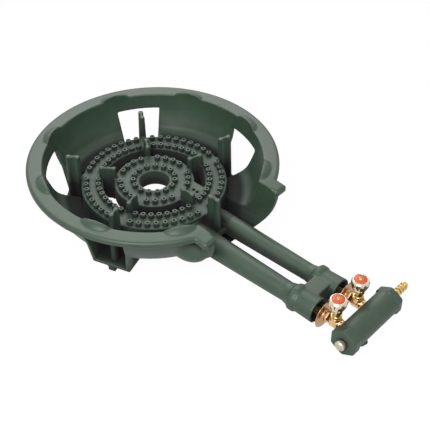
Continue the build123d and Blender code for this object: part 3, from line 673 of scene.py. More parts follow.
def channel(name, inset, start_x, end_x, top_z):
    """A bar along the tubes with a round-cornered underside."""
    half = GAP_HALF + WALL_T - inset
    low = TROUGH_FOOT_Z + inset
    radius = TROUGH_ROUND - inset
    right = quarter((half - radius, low + radius), radius, 0, 8)
    left = quarter((radius - half, low + radius), radius, -90, 8)
    outline = [(half, top_z)] + right + left + [(-half, top_z)]
    return die(name, [at(start_x, y, z) for y, z in outline], (end_x - start_x, 0, 0))


def tube_way():
    """The free way over and between the tubes, out through the front of the bowl."""
    return channel("tube_way", WALL_T, TROUGH_IN_R / 2, RIM_R + RIM_IN_R, RIM_Z + 4 * REST_H)


def sweep_back(shell):
    """Cut the lip's low left corner off along a slanted plane."""
    choose(shell)
    bpy.ops.object.mode_set(mode="EDIT")
    bpy.ops.mesh.select_all(action="SELECT")
    bpy.ops.mesh.bisect(plane_co=at(*LIP_CORNER), plane_no=LIP_SWEEP, use_fill=True, clear_outer=True)
    tidy_normals()
    settle(shell)


def trough():
    """A round-bottomed channel whose front lip follows the bowl's wall further out."""
    outline = [(0, TROUGH_FOOT_Z - 2)] + wall_curve(TROUGH_FOOT_Z - 2, TROUGH_TOP_Z, WALL_T, LIP_OUT)
    outline += [(RIM_IN_R, RIM_Z - 2), (0, RIM_Z - 2)]
    side = die("side", [at(x, -RIM_R, z) for x, z in outline], (0, 2 * RIM_R, 0))
    shell = channel("trough", 0, TROUGH_IN_R / 2 + TROUGH_START, RIM_R + 2 * LIP_OUT, RIM_Z - 3)
    sweep_back(combine(shell, side, "INTERSECT"))
    eased(shell, LIP_EDGE, LIP_SEGMENTS)
    combine(shell, tube_way(), "DIFFERENCE")
    below = turned_upright("below", rod(TROUGH_IN_R, -5, FLOOR_Z + 3), steps=BOWL_STEPS)
    combine(shell, below, "DIFFERENCE")
    return combine(shell, well(), "DIFFERENCE")


print("the front gap is", 2 * GAP_HALF, "mm wide")

# %% [markdown]
# ## Cheeks and ears
# A round bulge joins the bowl to each side of the trough, and above it the flange ends in a drooping ear.
# The bulges could be sculpted. A stretched ball, cut clear of the bowl's inside and of the way for the tubes,
# gives the same form in three steps. The ears have one section all across, so they come out of a die.

# %% Cheeks and ears
CHEEK_PLACE = (124.7, 61.3, 61.7)
CHEEK_SIZE = (36.8, 24.1, 27.5)
EAR_ROOT = 18.0
EAR_W = 22.5
EAR_X = 179.0
EAR_BEND_X = 152.0
EAR_DROP = 2.5
EAR_H = 11.5
EAR_CHAMFER = 3.2


def cheek(side):
    """The round bulge between the bowl and one side of the trough."""
    x, y, z = CHEEK_PLACE
    bulge = ball("cheek", (x, side * y, z), CHEEK_SIZE)
    combine(bulge, tube_way(), "DIFFERENCE")
    return combine(bulge, well(), "DIFFERENCE")


def ear(side):
    """The drooping bar that carries the flange past its circle."""
    root_x = RIM_IN_R - EAR_ROOT
    end_z = RIM_Z - EAR_DROP
    outline = [(root_x, RIM_Z - EAR_H), (RIM_IN_R, RIM_Z - EAR_H), (EAR_X, end_z - EAR_H)]
    outline += [(EAR_X, end_z), (EAR_BEND_X, RIM_Z), (root_x, RIM_Z)]
    bar = die("ear", [at(x, side * GAP_HALF, z) for x, z in outline], (0, side * EAR_W, 0))
    return combine(eased(bar, EAR_CHAMFER, 1), well(), "DIFFERENCE")


def over_ear(side):
    """The wedge above an ear's slope, which is cut off the flange."""
    end_x = EAR_BEND_X + 2 * (EAR_X - EAR_BEND_X)
    outline = [(EAR_BEND_X, RIM_Z), (end_x, RIM_Z - 2 * EAR_DROP)]
    outline += [(end_x, RIM_Z + EAR_H), (EAR_BEND_X, RIM_Z + EAR_H)]
    inner = side * (GAP_HALF - 1)
    return die("over_ear", [at(x, inner, z) for x, z in outline], (0, side * (EAR_W + 1), 0))


print("the ears end", EAR_X, "mm in front of the burner axis")

# %% [markdown]
# ## Pot rests
# Eight low half domes on the flange's inner edge carry wide pots. A dome could be turned and cut in half.
# A flattened ball, sunk into the flange and cut off flush with the wall, also follows the wall's curve.

# %% Pot rests
REST_ANGLES = (32.0, 73.5, 115.0, 157.0)
REST_HALF = 22.0
REST_FOOT_W = 11.5
REST_SUNK = 3.0
REST_CUT = 90.0


def pot_rest():
    """A half dome on the flange's inner edge: the cap of a flattened ball, cut off by the well."""
    height = REST_H + REST_SUNK
    share = math.sqrt(1 - (REST_SUNK / height) ** 2)
    size = (REST_FOOT_W / share, REST_HALF / share, height)
    dome = ball("pot_rest", (RIM_IN_R, 0, RIM_Z - REST_SUNK), size)
    low = (RIM_R - REST_CUT, -2 * REST_HALF, 0)
    high = (RIM_R + REST_CUT, 2 * REST_HALF, RIM_Z - FLANGE_T / 2)
    combine(dome, box("under", low, high), "DIFFERENCE")
    return combine(dome, well(), "DIFFERENCE")


print("pot rests:", 2 * len(REST_ANGLES))

# %% [markdown]
# ## Windows and legs
# Each leg is a box of plates that is open to the outside, under a window that lets air in to the flames. The
# plates could be modelled one by one. Here the leg starts as a block with the right side view, a tapered
# block gives it the right front view, and the window's own shape hollows it out, so leg and window line up.

# %% Windows and legs
LEG_ANGLES = (72, 144, 216, 288)
WINDOW_TOP_Z = 81.0
WINDOW_HALF = 33.0
WINDOW_START = 20.0
CHANNEL_HALF_TOP = 28.5
CHANNEL_HALF_FOOT = 23.5
LEG_MERGE_Z = 62.0
PLATE_T = 5.0
LEG_FOOT_Z = 7.5
LEG_FLOOR_Z = LEG_FOOT_Z + PLATE_T
LEG_OUT_R = 136.0
LEG_PLATE_IN_R = 106.5
LEG_IN_R = 103.0
LEG_SLOPE = 0.21
LEG_BACK_Z = 27.0
NUB = 11.0


def both_sides(points):
    """Points of one half of an outline, then their mirror images in reverse order."""
    return points + [(-y, z) for y, z in reversed(points)]


def window():
    """A window in the wall, which tapers down into the leg's channel."""
    outline = both_sides([(CHANNEL_HALF_FOOT, LEG_FLOOR_Z), (WINDOW_HALF, WINDOW_TOP_Z)])
    start = LEG_IN_R - WINDOW_START
    return die("window", [at(start, y, z) for y, z in outline], (RIM_IN_R + WALL_T - start, 0, 0))


def leg():
    """Two side plates, a floor and a low back plate, open to the outside."""
    top = LEG_MERGE_Z
    side = [(LEG_IN_R, LEG_FOOT_Z), (LEG_OUT_R, LEG_FOOT_Z)]
    side += [(LEG_OUT_R + LEG_SLOPE * (top - LEG_FOOT_Z), top), (wall_r(top) - 1, top)]
    side += [(wall_r(WALL_FOOT_Z) - 1, WALL_FOOT_Z + 1), (LEG_PLATE_IN_R, WALL_FOOT_Z + 1)]
    side += [(LEG_PLATE_IN_R, LEG_FLOOR_Z), (LEG_IN_R, LEG_FLOOR_Z)]
    block = die("leg", [at(x, -2 * WINDOW_HALF, z) for x, z in side], (0, 4 * WINDOW_HALF, 0))
    front = both_sides([(CHANNEL_HALF_FOOT + PLATE_T, 0), (CHANNEL_HALF_TOP + PLATE_T, top + 1)])
    taper = die("taper", [at(LEG_IN_R - 1, y, z) for y, z in front], (RIM_IN_R - LEG_IN_R + 1, 0, 0))
    combine(block, taper, "INTERSECT")
    combine(block, window(), "DIFFERENCE")
    half = CHANNEL_HALF_FOOT + PLATE_T / 2
    back = box("leg_back", (LEG_IN_R, -half, LEG_FOOT_Z), (LEG_IN_R + PLATE_T, half, LEG_BACK_Z))
    return joined("leg", [block, back])


def nub():
    """The small block under a leg's outer end."""
    return box("nub", (LEG_OUT_R - NUB, -NUB / 2, 0), (LEG_OUT_R, NUB / 2, LEG_FOOT_Z + PLATE_T / 2))


print("legs:", len(LEG_ANGLES))

# %% [markdown]
# ## The stand as one casting
# The real stand is poured in one mould, so no seam shows between the bowl, the legs and the trough.
# Exact unions would keep sharp corners where they meet. The shapes are only joined here, and the voxel skin
# fuses them, with a small fillet in every corner.

# %% Windshield stand
CASTING_VOXEL = 1.2
STAND_KEEP = 0.42


def windshield_stand():
    """All shapes of the stand, cut, copied round the axis and melted into one."""
    body = combine(bowl(), tube_way(), "DIFFERENCE")
    shapes = [body, trough()]
    rest = pot_rest()
    support = joined("support", [leg(), nub()])
    hole = window()
    for side in (-1, 1):
        combine(body, over_ear(side), "DIFFERENCE")
        shapes += [cheek(side), ear(side)]
        shapes += [turn(copy_of(rest, "rest"), side * angle) for angle in REST_ANGLES]
    for angle in LEG_ANGLES:
        combine(body, turn(copy_of(hole, "hole"), angle), "DIFFERENCE")
        shapes.append(turn(copy_of(support, "support"), angle))
    for pattern in (rest, support, hole):
        bpy.data.objects.remove(pattern)
    return cast(joined("windshield_stand_cast", shapes), CASTING_VOXEL, STAND_KEEP)


piece(windshield_stand(), "stove", "painted_iron", STAND_IRON, "windshield_stand", "stand_legs")

# %% [markdown]
# ## The burner's rings and fins
# Two hollow rings lead the gas round to the jets, and upright fins between and outside them carry the pot.
# A ring is turned. A fin could be a bevelled block, but a real one has round ends and is thicker at its foot,
# so it can leave the mould: a tapered web between two slightly conical beads shows both.

# %% Rings and fins
RING_Z = 61.5
OUTER_RING = (74.2, 105.3)
INNER_RING = (21.8, 58.2)
OUTER_RING_FOOT_Z = 22.0
INNER_RING_FOOT_Z = 34.0
RING_CHAMFER = 3.0
OUTER_FIN = (107.0, 128.0)
OUTER_FIN_Z = 96.0
INNER_FIN = (55.0, 80.0)
INNER_FIN_Z = 80.0
INNER_FIN_FOOT_Z = 24.0
FIN_WEB_T = 3.8
FIN_BEAD_R = 3.9
FIN_DRAFT = 0.045


def ring(name, radii, foot_z):
    """A flat-topped ring with chamfered lower edges."""
    a, b = radii
    cut = RING_CHAMFER
    outline = [(a + cut, foot_z), (b - cut, foot_z), (b, foot_z + cut)]
    outline += [(b, RING_Z), (a, RING_Z), (a, foot_z + cut)]
    return turned_upright(name, outline, steps=128)


def bead(radius, foot_z, top_z):
    """The round end of a fin, a little thicker at its foot."""
    height = top_z - foot_z
    foot_r = FIN_BEAD_R + FIN_DRAFT * height / 2
    return settle(cone("bead", at(radius, 0, foot_z + height / 2), foot_r, FIN_BEAD_R, height, 24))


def fin(span, foot_z, top_z, root_r):
    """An upright fin: a web between two round beads, and a root into the ring."""
    half = FIN_WEB_T / 2 + FIN_DRAFT * (top_z - foot_z) / 2
    outline = both_sides([(half, foot_z), (FIN_WEB_T / 2, top_z)])
    start, end = span[0] + FIN_BEAD_R, span[1] - FIN_BEAD_R
    shapes = [die("fin", [at(start, y, z) for y, z in outline], (end - start, 0, 0))]
    shapes += [bead(radius, foot_z, top_z) for radius in (start, end)]
    if root_r < span[0]:
        shapes.append(box("root", (root_r, -half, foot_z), (start, half, RING_Z - 2)))
    return shapes


print("ring tops at", RING_Z, "mm, fin tops at", INNER_FIN_Z, "and", OUTER_FIN_Z, "mm")

# %% [markdown]
# ## The mixing tubes
# Gas and air mix in two tapered tubes, which end in a collar and a flared mouth. A bar across each mouth
# holds the nozzle. The outside of a tube is one outline, and the inside is another that is cut out of it, as
# a core would leave it in the mould. The wide root of the outer tube is a cone, stretched sideways.

# %% Tubes and mouths
TUBE_Y = 23.5
TUBE_Z = 36.5
OUTER_TUBE_R = (16.8, 14.0)
INNER_TUBE_R = (14.3, 12.3)
OUTER_TUBE_SUNK = 23.0
INNER_TUBE_SUNK = 12.0
OUTER_FLARE = 3.0
HOOD_X = (88.0, 150.0)
HOOD_HALF = (36.0, 20.0)
HOOD_TAPER = 0.3
ROOT_X = 140.0
THROAT_X = 270.0
COLLAR_X = (278.5, 289.0)
COLLAR_R = 19.2
COLLAR_SLOPE = 4.0
MOUTH_X = (293.0, 321.0)
MOUTH_R = (17.0, 17.8)
MOUTH_BORE_R = 13.8
THROAT_BORE_R = 9.0
BAR_X = (300.0, 308.0)
BAR_W = 6.0
HUB_R = 8.0


def tube(y, radii, start_x, flare):
    """A mixing tube with its collar and mouth."""
    root, throat = radii
    outline = [(start_x, 0), (start_x, root + flare), (ROOT_X, root), (THROAT_X, throat)]
    outline += [(COLLAR_X[0], throat + 2), (COLLAR_X[0] + COLLAR_SLOPE, COLLAR_R), (COLLAR_X[1], COLLAR_R)]
    outline += [(MOUTH_X[0], MOUTH_R[0]), (MOUTH_X[1], MOUTH_R[1]), (MOUTH_X[1], 0)]
    return turned_along("tube", outline, y, TUBE_Z)


def root_hood():
    """The wide root with which the outer tube grows out of its ring: a cone, wider than it is high."""
    start, end = HOOD_X
    width, height = HOOD_HALF
    hood = cone("hood", at((start + end) / 2, -TUBE_Y, TUBE_Z), 1, HOOD_TAPER, end - start, 48, 90)
    hood.scale = (height, width, 1)
    return settle(hood)


def mouth_bore(y):
    """The hollow of a mouth, down to the throat."""
    end = MOUTH_X[1] + 5
    outline = [(THROAT_X, 0), (THROAT_X, THROAT_BORE_R), (COLLAR_X[0] + COLLAR_SLOPE, THROAT_BORE_R)]
    outline += [(MOUTH_X[0], MOUTH_BORE_R), (end, MOUTH_BORE_R), (end, 0)]
    return turned_along("bore", outline, y, TUBE_Z)


def mouth_bar(y):
    """The bar across a mouth and the hub that holds the nozzle."""
    start, end = BAR_X
    half = BAR_W / 2
    reach = MOUTH_R[0] - 1
    bar = box("bar", (start, y - half, TUBE_Z - reach), (end, y + half, TUBE_Z + reach))
    return [bar, turned_along("hub", lying_rod(HUB_R, start, end), y, TUBE_Z)]


print("the mouths open", MOUTH_X[1], "mm in front of the burner axis")

# %% [markdown]
# ## Webs, foot and bridge
# Webs tie the two tubes together at both ends, a foot under the mouths takes the weight of the valves, and a
# bridge with two pilot holes carries the flame from ring to ring. They are all plain blocks in the casting,
# so boxes are enough. The pilot holes are cut before the skin goes on, which rounds their edges.

# %% Webs, foot and bridge
BRIDGE_X = (42.0, 79.2)
BRIDGE_Y = (11.0, 37.8)
PILOT_X = (56.4, 63.6)
PILOT_R = 2.2
PILOT_DEPTH = 7.0
REAR_WEB_X = (100.0, 131.0)
REAR_WEB_T = 8.0
WEB_BOSS = (124.0, 11.0)
WEB_BOSS_R = 3.0
WEB_BOSS_H = 5.0
FRONT_WEB_X = (286.5, 312.0)
FRONT_WEB_Z = (TUBE_Z - 2.0, TUBE_Z + 15.5)
FOOT_X = (297.0, 309.0)
FOOT_HALF = 17.0


def cross_block(name, x_span, half, z_span):
    """A block that lies across the middle, between two places along the tubes and two heights."""
    return box(name, (x_span[0], -half, z_span[0]), (x_span[1], half, z_span[1]))


def webs():
    """The web and boss behind the bowl's trough, and the web and foot between the mouths."""
    half = REAR_WEB_T / 2
    rear = cross_block("rear_web", REAR_WEB_X, TUBE_Y, (TUBE_Z - half, TUBE_Z + half))
    outline = rod(WEB_BOSS_R, TUBE_Z, TUBE_Z + half + WEB_BOSS_H)
    boss = turned_upright("boss", outline, *WEB_BOSS, steps=24)
    front = cross_block("front_web", FRONT_WEB_X, TUBE_Y, FRONT_WEB_Z)
    foot = cross_block("front_foot", FOOT_X, FOOT_HALF, (0, TUBE_Z))
    for y in (-TUBE_Y, TUBE_Y):
        combine(front, mouth_bore(y), "DIFFERENCE")
        combine(foot, mouth_bore(y), "DIFFERENCE")
    return [rear, boss, front, foot]


def bridge():
    """The bridge from ring to ring over the inner tube, with its two pilot holes."""
    low, high = zip(BRIDGE_X, BRIDGE_Y, (TUBE_Z, RING_Z))
    block = box("bridge", low, high)
    for x in PILOT_X:
        outline = rod(PILOT_R, RING_Z - PILOT_DEPTH, RING_Z + 1)
        combine(block, turned_upright("pilot_hole", outline, x, TUBE_Y, 16), "DIFFERENCE")
    return block


print("pilot holes:", len(PILOT_X))

# %% [markdown]
# ## The burner as one casting
# Rings, fins, tubes, webs and bridge come out of one mould, like the stand. The same cast skin is used, so
# the two castings have the same softness where they are seen side by side.

# %% Burner casting
BURNER_KEEP = 0.5
BURNER_NODES = ("outer_ring", "inner_ring", "outer_tube", "inner_tube", "outer_mouth", "inner_mouth")
BURNER_NODES += ("tube_webs", "front_foot", "outer_fins", "inner_fins")


def burner_casting():
    """All shapes of the burner, melted into one."""
    shapes = [ring("outer_ring_cast", OUTER_RING, OUTER_RING_FOOT_Z)]
    shapes.append(ring("inner", INNER_RING, INNER_RING_FOOT_Z))
    for angle in (0,) + LEG_ANGLES:
        foot_z = LEG_FLOOR_Z if angle else TUBE_Z
        fins = fin(OUTER_FIN, foot_z, OUTER_FIN_Z, OUTER_RING[1] - RING_CHAMFER)
        fins += fin(INNER_FIN, INNER_FIN_FOOT_Z, INNER_FIN_Z, INNER_FIN[0])
        shapes += [turn(shape, angle) for shape in fins]
    shapes.append(bridge())
    outer_tube = tube(-TUBE_Y, OUTER_TUBE_R, OUTER_RING[1] - OUTER_TUBE_SUNK, OUTER_FLARE)
    inner_tube = tube(TUBE_Y, INNER_TUBE_R, INNER_RING[1] - INNER_TUBE_SUNK, 0)
    for y, feed in ((-TUBE_Y, outer_tube), (TUBE_Y, inner_tube)):
        shapes.append(combine(feed, mouth_bore(y), "DIFFERENCE"))
        shapes += mouth_bar(y)
    shapes += webs() + [root_hood()]
    return cast(joined("burner_cast", shapes), CASTING_VOXEL, BURNER_KEEP)


piece(burner_casting(), "stove", "painted_iron", IRON, *BURNER_NODES)

# %% [markdown]
# ## The jets
# Gas leaves the rings through rows of raised jets. They could be part of the cast skin, but its faces are
# too large for holes this small. One jet is modelled from a short cone: its rim is bevelled, and its top is
# inset and pushed down to make the hole. The rows are copies of it.

# %% Jets
JET_FOOT_R = 4.0
JET_TOP_R = 3.8
JET_H = 6.0
JET_HOLE_R = 1.75
JET_HOLE_DEPTH = 4.8
JET_EDGE = 0.35
JET_EDGE_ANGLE = 40.0
OUTER_JET_ROWS = ((98.5, 9), (80.5, 8))
INNER_JET_ROW = (49.5, 4)
CENTRE_ROW_R = 30.5
CENTRE_ROW_COUNT = 15
SECTORS = 5


def top_faces(obj, height):
    """Select the faces that lie at a height, in edit mode."""
    bpy.ops.mesh.select_all(action="DESELECT")
    bpy.ops.object.mode_set(mode="OBJECT")
    for face in obj.data.polygons:
        face.select = abs((obj.matrix_world @ face.center).z - height * MM) < MERGE_WITHIN * MM
    bpy.ops.object.mode_set(mode="EDIT")


def one_jet():
    """A jet on the burner axis, from just under the ring's top upwards."""
    low = RING_Z - 1
    top = RING_Z + JET_H
    jet = cone("jet", at(0, 0, (low + top) / 2), JET_FOOT_R, JET_TOP_R, top - low, 16)
    bpy.ops.object.mode_set(mode="EDIT")
    bpy.ops.mesh.select_mode(type="FACE")
    top_faces(jet, top)
    bpy.ops.mesh.bevel(offset=JET_EDGE * MM, segments=2, affect="EDGES")
    top_faces(jet, top)
    bpy.ops.mesh.inset(thickness=(JET_TOP_R - JET_EDGE - JET_HOLE_R) * MM)
    bpy.ops.mesh.extrude_region_move(TRANSFORM_OT_translate={"value": (0, 0, -JET_HOLE_DEPTH * MM)})
    bpy.ops.mesh.select_mode(type="VERT")
    settle(jet)
    bpy.ops.object.shade_smooth_by_angle(angle=math.radians(JET_EDGE_ANGLE))
    return jet


def sector_row(radius, count):
    """Places of a row that leaves one gap free in each sector, where a fin stands."""
    step = 360.0 / SECTORS
    shares = [k / (count + 1) for k in range(1, count + 1)]
    return [(radius, step * (sector + share)) for sector in range(SECTORS) for share in shares]


def jet_rows(name, places):
    """Copies of one jet at (radius, angle) places."""
    pattern = one_jet()
    copies = []
    for radius, angle in places:
        jet = copy_of(pattern, "jet_copy")
        jet.location = on_circle(radius, angle, 0) - at(0, 0, 0)
        copies.append(jet)
    bpy.data.objects.remove(pattern)
    return joined(name, copies)


outer_places = [spot for radius, count in OUTER_JET_ROWS for spot in sector_row(radius, count)]
centre_row = [(CENTRE_ROW_R, 360.0 / CENTRE_ROW_COUNT * (k + 0.5)) for k in range(CENTRE_ROW_COUNT)]
inner_places = sector_row(*INNER_JET_ROW) + centre_row
for ring_name, places in (("outer", outer_places), ("inner", inner_places)):
    row = jet_rows(f"{ring_name}_jet_rows", places)
    piece(row, "stove", "painted_iron", IRON, f"{ring_name}_jets")
    print(ring_name, "ring has", len(places), "jets")

# %% [markdown]
# ## The manifold
# The manifold leads the gas from the hose to both valves. It is a casting like the burner, so its barrel,
# its two wrench hexes and its boss are melted together too, under a finer skin, because it is smaller.

# %% Manifold
MANIFOLD_X = 376.0
MANIFOLD_Z = 34.0
MANIFOLD_R = 18.0
MANIFOLD_Y = (-45.0, 60.0)
MANIFOLD_VOXEL = 0.8
MANIFOLD_ROUNDS = 5
HEX_AF = 36.4
HEX_CORNER_R = 20.0
HEX_LENGTHS = (13.0, 10.0)
BOSS_R = 7.0
BOSS_H = 3.0
BOSS_Y = -15.0
BOSS_ANGLE = 35.0


def six_corners(across_flats, first):
    """Corners of a hexagon from its width across flats, starting at an angle in degrees."""
    corner = across_flats / math.sqrt(3)
    angles = [math.radians(first + 60 * k) for k in range(6)]
    return [(corner * math.cos(a), corner * math.sin(a)) for a in angles]


def wrench_hex(start, end):
    """A hex at the manifold's end, with its corners turned down."""
    corners = [at(MANIFOLD_X + x, start, MANIFOLD_Z + z) for x, z in six_corners(HEX_AF, 90)]
    prism = die("hex", corners, (0, end - start, 0))
    turning = lying_rod(HEX_CORNER_R, start - 1, end + 1)
    return combine(prism, turned_across("turning", turning, MANIFOLD_X, MANIFOLD_Z), "INTERSECT")


def manifold():
    """The barrel between its two hexes, and a boss that points down and away from the bowl."""
    low, high = MANIFOLD_Y
    barrel = lying_rod(MANIFOLD_R, low + 2, high - 2)
    shapes = [turned_across("manifold_cast", barrel, MANIFOLD_X, MANIFOLD_Z)]
    shapes += [wrench_hex(low, low + HEX_LENGTHS[0]), wrench_hex(high - HEX_LENGTHS[1], high)]
    lean = Matrix.Rotation(math.radians(-BOSS_ANGLE), 3, "Y")
    length = MANIFOLD_R + BOSS_H
    place = at(MANIFOLD_X, BOSS_Y, MANIFOLD_Z) + lean @ Vector((0, 0, -length / 2 * MM))
    shapes.append(settle(cone("boss", place, BOSS_R, BOSS_R, length, tilt=-BOSS_ANGLE)))
    return cast(joined("manifold_cast", shapes), MANIFOLD_VOXEL, rounds=MANIFOLD_ROUNDS)


piece(manifold(), "stove", "painted_iron", IRON, "manifold")

# %% [markdown]
# ## Plug and hose barb
# A plug closes the manifold's near end, and the hose is pushed over the ridged barb at its far end. Both are
# turned on a lathe. The ridges could be an array of rings, but a loop that draws one ridge after another
# keeps the barb in one piece, with a bore all the way through. In outlines like these, the short steps of
# a curve are written where they are drawn.

# %% Plug and hose barb
PLUG_R = 7.0
PLUG_H = 8.5
PLUG_EDGE = 0.4
THREAD_R = 5.0
BARB_R = 6.0
BARB_ROOT_R = 4.7
BARB_BORE_R = 2.5
BARB_FLANGE = (6.6, 3.0)
BARB_RIDGES = 5
BARB_PITCH = 6.0
BARB_EDGE = 0.15


def plug():
    """A round-headed plug, with a soft edge and a slightly hollow face."""
    end = MANIFOLD_Y[0]
    face = end - PLUG_H
    outline = [(end + 3, 0), (end + 3, THREAD_R), (end - 1, THREAD_R), (end - 1.5, PLUG_R)]
    outline += [(face + 1.5, PLUG_R), (face, PLUG_R - 1.5), (face + 0.4, PLUG_R - 3), (face + 0.4, 0)]
    return eased(turned_across("plug_turned", outline, MANIFOLD_X, MANIFOLD_Z), PLUG_EDGE)


def barb():
    """A flange, then ridges that slope towards the hose, round a through bore."""
    end = MANIFOLD_Y[1]
    flange_r, flange_t = BARB_FLANGE
    y = end + flange_t
    outline = [(end - 5, BARB_BORE_R), (end - 5, THREAD_R), (end, THREAD_R), (end, flange_r), (y, flange_r)]
    for _ in range(BARB_RIDGES):
        outline += [(y, BARB_ROOT_R), (y + 1, BARB_ROOT_R), (y + 1.3, BARB_R), (y + 2.4, BARB_R)]
        y += BARB_PITCH
    outline += [(y, BARB_ROOT_R), (y + 1.5, BARB_ROOT_R - 0.6), (y + 1.5, BARB_BORE_R)]
    return eased(turned_across("barb_turned", outline, MANIFOLD_X, MANIFOLD_Z), BARB_EDGE)


piece(plug(), "stove", "steel", ZINC, "manifold_plug")
piece(barb(), "stove", "brass", YELLOW_BRASS, "hose_barb")

# %% [markdown]
# ## Nozzles, air shutters and lock nuts
# A nozzle blows the gas into each mouth, an air shutter slides on it to let in more or less air, and a lock
# nut holds the shutter. The nozzle's thread could be a helix, but at this size plain rings look the same and
# need far fewer faces. Nuts are hex bars whose corners a lathe has chamfered: a prism intersected with a
# turned shape.

# %% Nozzle, shutter and lock nut
STEM_R = 5.0
STEM_X = (292.0, 343.0)
STEM_EDGE_ANGLE = 25.0
THREAD_PITCH = 1.25
THREAD_DEPTH = 0.5
SHUTTER_X = 329.5
SHUTTER_R = 18.8
SHUTTER_T = 1.6
SHUTTER_HUB_R = 8.6
SHUTTER_BORE_R = 5.05
SHUTTER_DEPTH = 5.2
SHUTTER_EDGE = 0.3
LOCK_NUT_AF = 15.0
LOCK_NUT_T = 4.0
NUT_CORNER = 1.6
NUT_EDGE = 0.2


def nozzle(y):
    """The stem, with a drilled tip and rings in place of its thread."""
    tip, tail = STEM_X
    outline = [(tip + 4, 0), (tip + 4, 0.6), (tip, 0.6), (tip, 2.2), (tip + 6, STEM_R)]
    x = BAR_X[1] + 1
    while x < tail - 2 * THREAD_PITCH:
        outline += [(x, STEM_R), (x + THREAD_PITCH / 2, STEM_R - THREAD_DEPTH)]
        x += THREAD_PITCH
    outline += [(x, STEM_R), (tail, STEM_R), (tail, 0)]
    stem = turned_along("nozzle_turned", outline, y, TUBE_Z, 40)
    bpy.ops.object.shade_smooth_by_angle(angle=math.radians(STEM_EDGE_ANGLE))
    return stem


def shutter(y):
    """A thin disc with a rolled rim and a round hub."""
    back = SHUTTER_X
    face = back + SHUTTER_T
    end = back + SHUTTER_DEPTH
    rim, hub = SHUTTER_R, SHUTTER_HUB_R
    outline = [(back, SHUTTER_BORE_R), (back, rim - 1), (back + SHUTTER_T / 2, rim)]
    outline += [(face, rim - 0.5), (face - 0.5, rim - 2.5), (face - 0.3, hub + 1.2)]
    outline += [(face + 0.6, hub), (end - 1.6, hub - 0.5), (end - 0.4, hub - 1.5)]
    outline += [(end, hub - 2.6), (end, SHUTTER_BORE_R)]
    return eased(turned_along("shutter_turned", outline, y, TUBE_Z, 96), SHUTTER_EDGE, 3)


def nut_turning(across_flats, low, high):
    """(radius, height) points that chamfer the corners of a nut at both ends."""
    flat = across_flats / 2
    outline = [(0, low - 1), (flat - 1, low - 1), (flat + NUT_CORNER, low + 1)]
    return outline + [(flat + NUT_CORNER, high - 1), (flat - 1, high + 1), (0, high + 1)]


def lock_nut(y):
    """A hex nut on the stem, behind the shutter."""
    start = SHUTTER_X + SHUTTER_DEPTH
    corners = [at(start, y + a, TUBE_Z + b) for a, b in six_corners(LOCK_NUT_AF, 90)]
    prism = die("lock_nut_milled", corners, (LOCK_NUT_T, 0, 0))
    outline = [(x, r) for r, x in nut_turning(LOCK_NUT_AF, start, start + LOCK_NUT_T)]
    return eased(combine(prism, turned_along("turning", outline, y, TUBE_Z), "INTERSECT"), NUT_EDGE)


for ring_name, side in RINGS.items():
    y = side * TUBE_Y
    # The stem wears the brass with painted shade, for the shade inside its mouth.
    piece(nozzle(y), "stove", "brass", SHADED_STEM_BRASS, f"{ring_name}_nozzle")
    piece(shutter(y), f"{ring_name}_shutter", "brass", COPPERY, f"{ring_name}_air_shutter")
    piece(lock_nut(y), "stove", "brass", BRASS, f"{ring_name}_lock_nut")

# %% [markdown]
# ## Valve bodies, bonnets and gland nuts
# Each valve is a brass forging with a bonnet screwed into its top and a smaller nut that presses the packing
# round the spindle. The forging is soft all over, so it gets a fine cast skin. The bonnet and the nut are
# machined, so they keep flat faces and a narrow bevel that catches the light.

# %% Valve body, bonnet and gland nut
VALVE_X = 349.0
VALVE_R = 7.5
VALVE_ARM_R = 8.2
VALVE_NECK_R = 7.0
VALVE_VOXEL = 0.5
BONNET_Z = 46.0
BONNET_FLANGE = (7.0, 2.0)
BONNET_NECK_R = 4.8
BONNET_HEX_Z = 56.0
BONNET_AF = 14.0
GLAND_Z = 61.0
GLAND_AF = 11.0
GLAND_H = 2.5
SPINDLE_R = 3.0


def valve_body(y):
    """A brass forging: a barrel along the gas way and a boss up to the bonnet."""
    start = VALVE_X - VALVE_R
    end = VALVE_X + VALVE_R
    tail = MANIFOLD_X - MANIFOLD_R + 3
    outline = [(start, 0), (start, STEM_R + 1.5), (start + 2, VALVE_ARM_R), (end - 2, VALVE_ARM_R)]
    outline += [(end, VALVE_NECK_R), (tail, VALVE_NECK_R), (tail, 0)]
    barrel = turned_along("valve_forged", outline, y, TUBE_Z)
    boss = turned_upright("boss", rod(VALVE_R, TUBE_Z, BONNET_Z), VALVE_X, y, 64)
    return cast(joined("valve_forged", [barrel, boss]), VALVE_VOXEL)


def upright_hex(name, across_flats, low, high, y):
    """A hex on the spindle, its corners chamfered by turning."""
    corners = [at(VALVE_X + a, y + b, low) for a, b in six_corners(across_flats, 0)]
    prism = die(name, corners, (0, 0, high - low))
    turning = turned_upright("turning", nut_turning(across_flats, low, high), VALVE_X, y, 64)
    return combine(prism, turning, "INTERSECT")


def bonnet(y):
    """A flange, a neck and a hex, round the spindle."""
    flange_r, flange_t = BONNET_FLANGE
    neck_r = BONNET_NECK_R
    top = BONNET_Z + flange_t
    outline = [(SPINDLE_R, BONNET_Z), (flange_r, BONNET_Z), (flange_r, top), (neck_r + 0.8, top)]
    outline += [(neck_r, top + 1), (neck_r, BONNET_HEX_Z + 1), (SPINDLE_R, BONNET_HEX_Z + 1)]
    neck = turned_upright("bonnet_turned", outline, VALVE_X, y, 64)
    head = upright_hex("hex", BONNET_AF, BONNET_HEX_Z, GLAND_Z, y)
    return eased(joined("bonnet_turned", [neck, head]), NUT_EDGE)


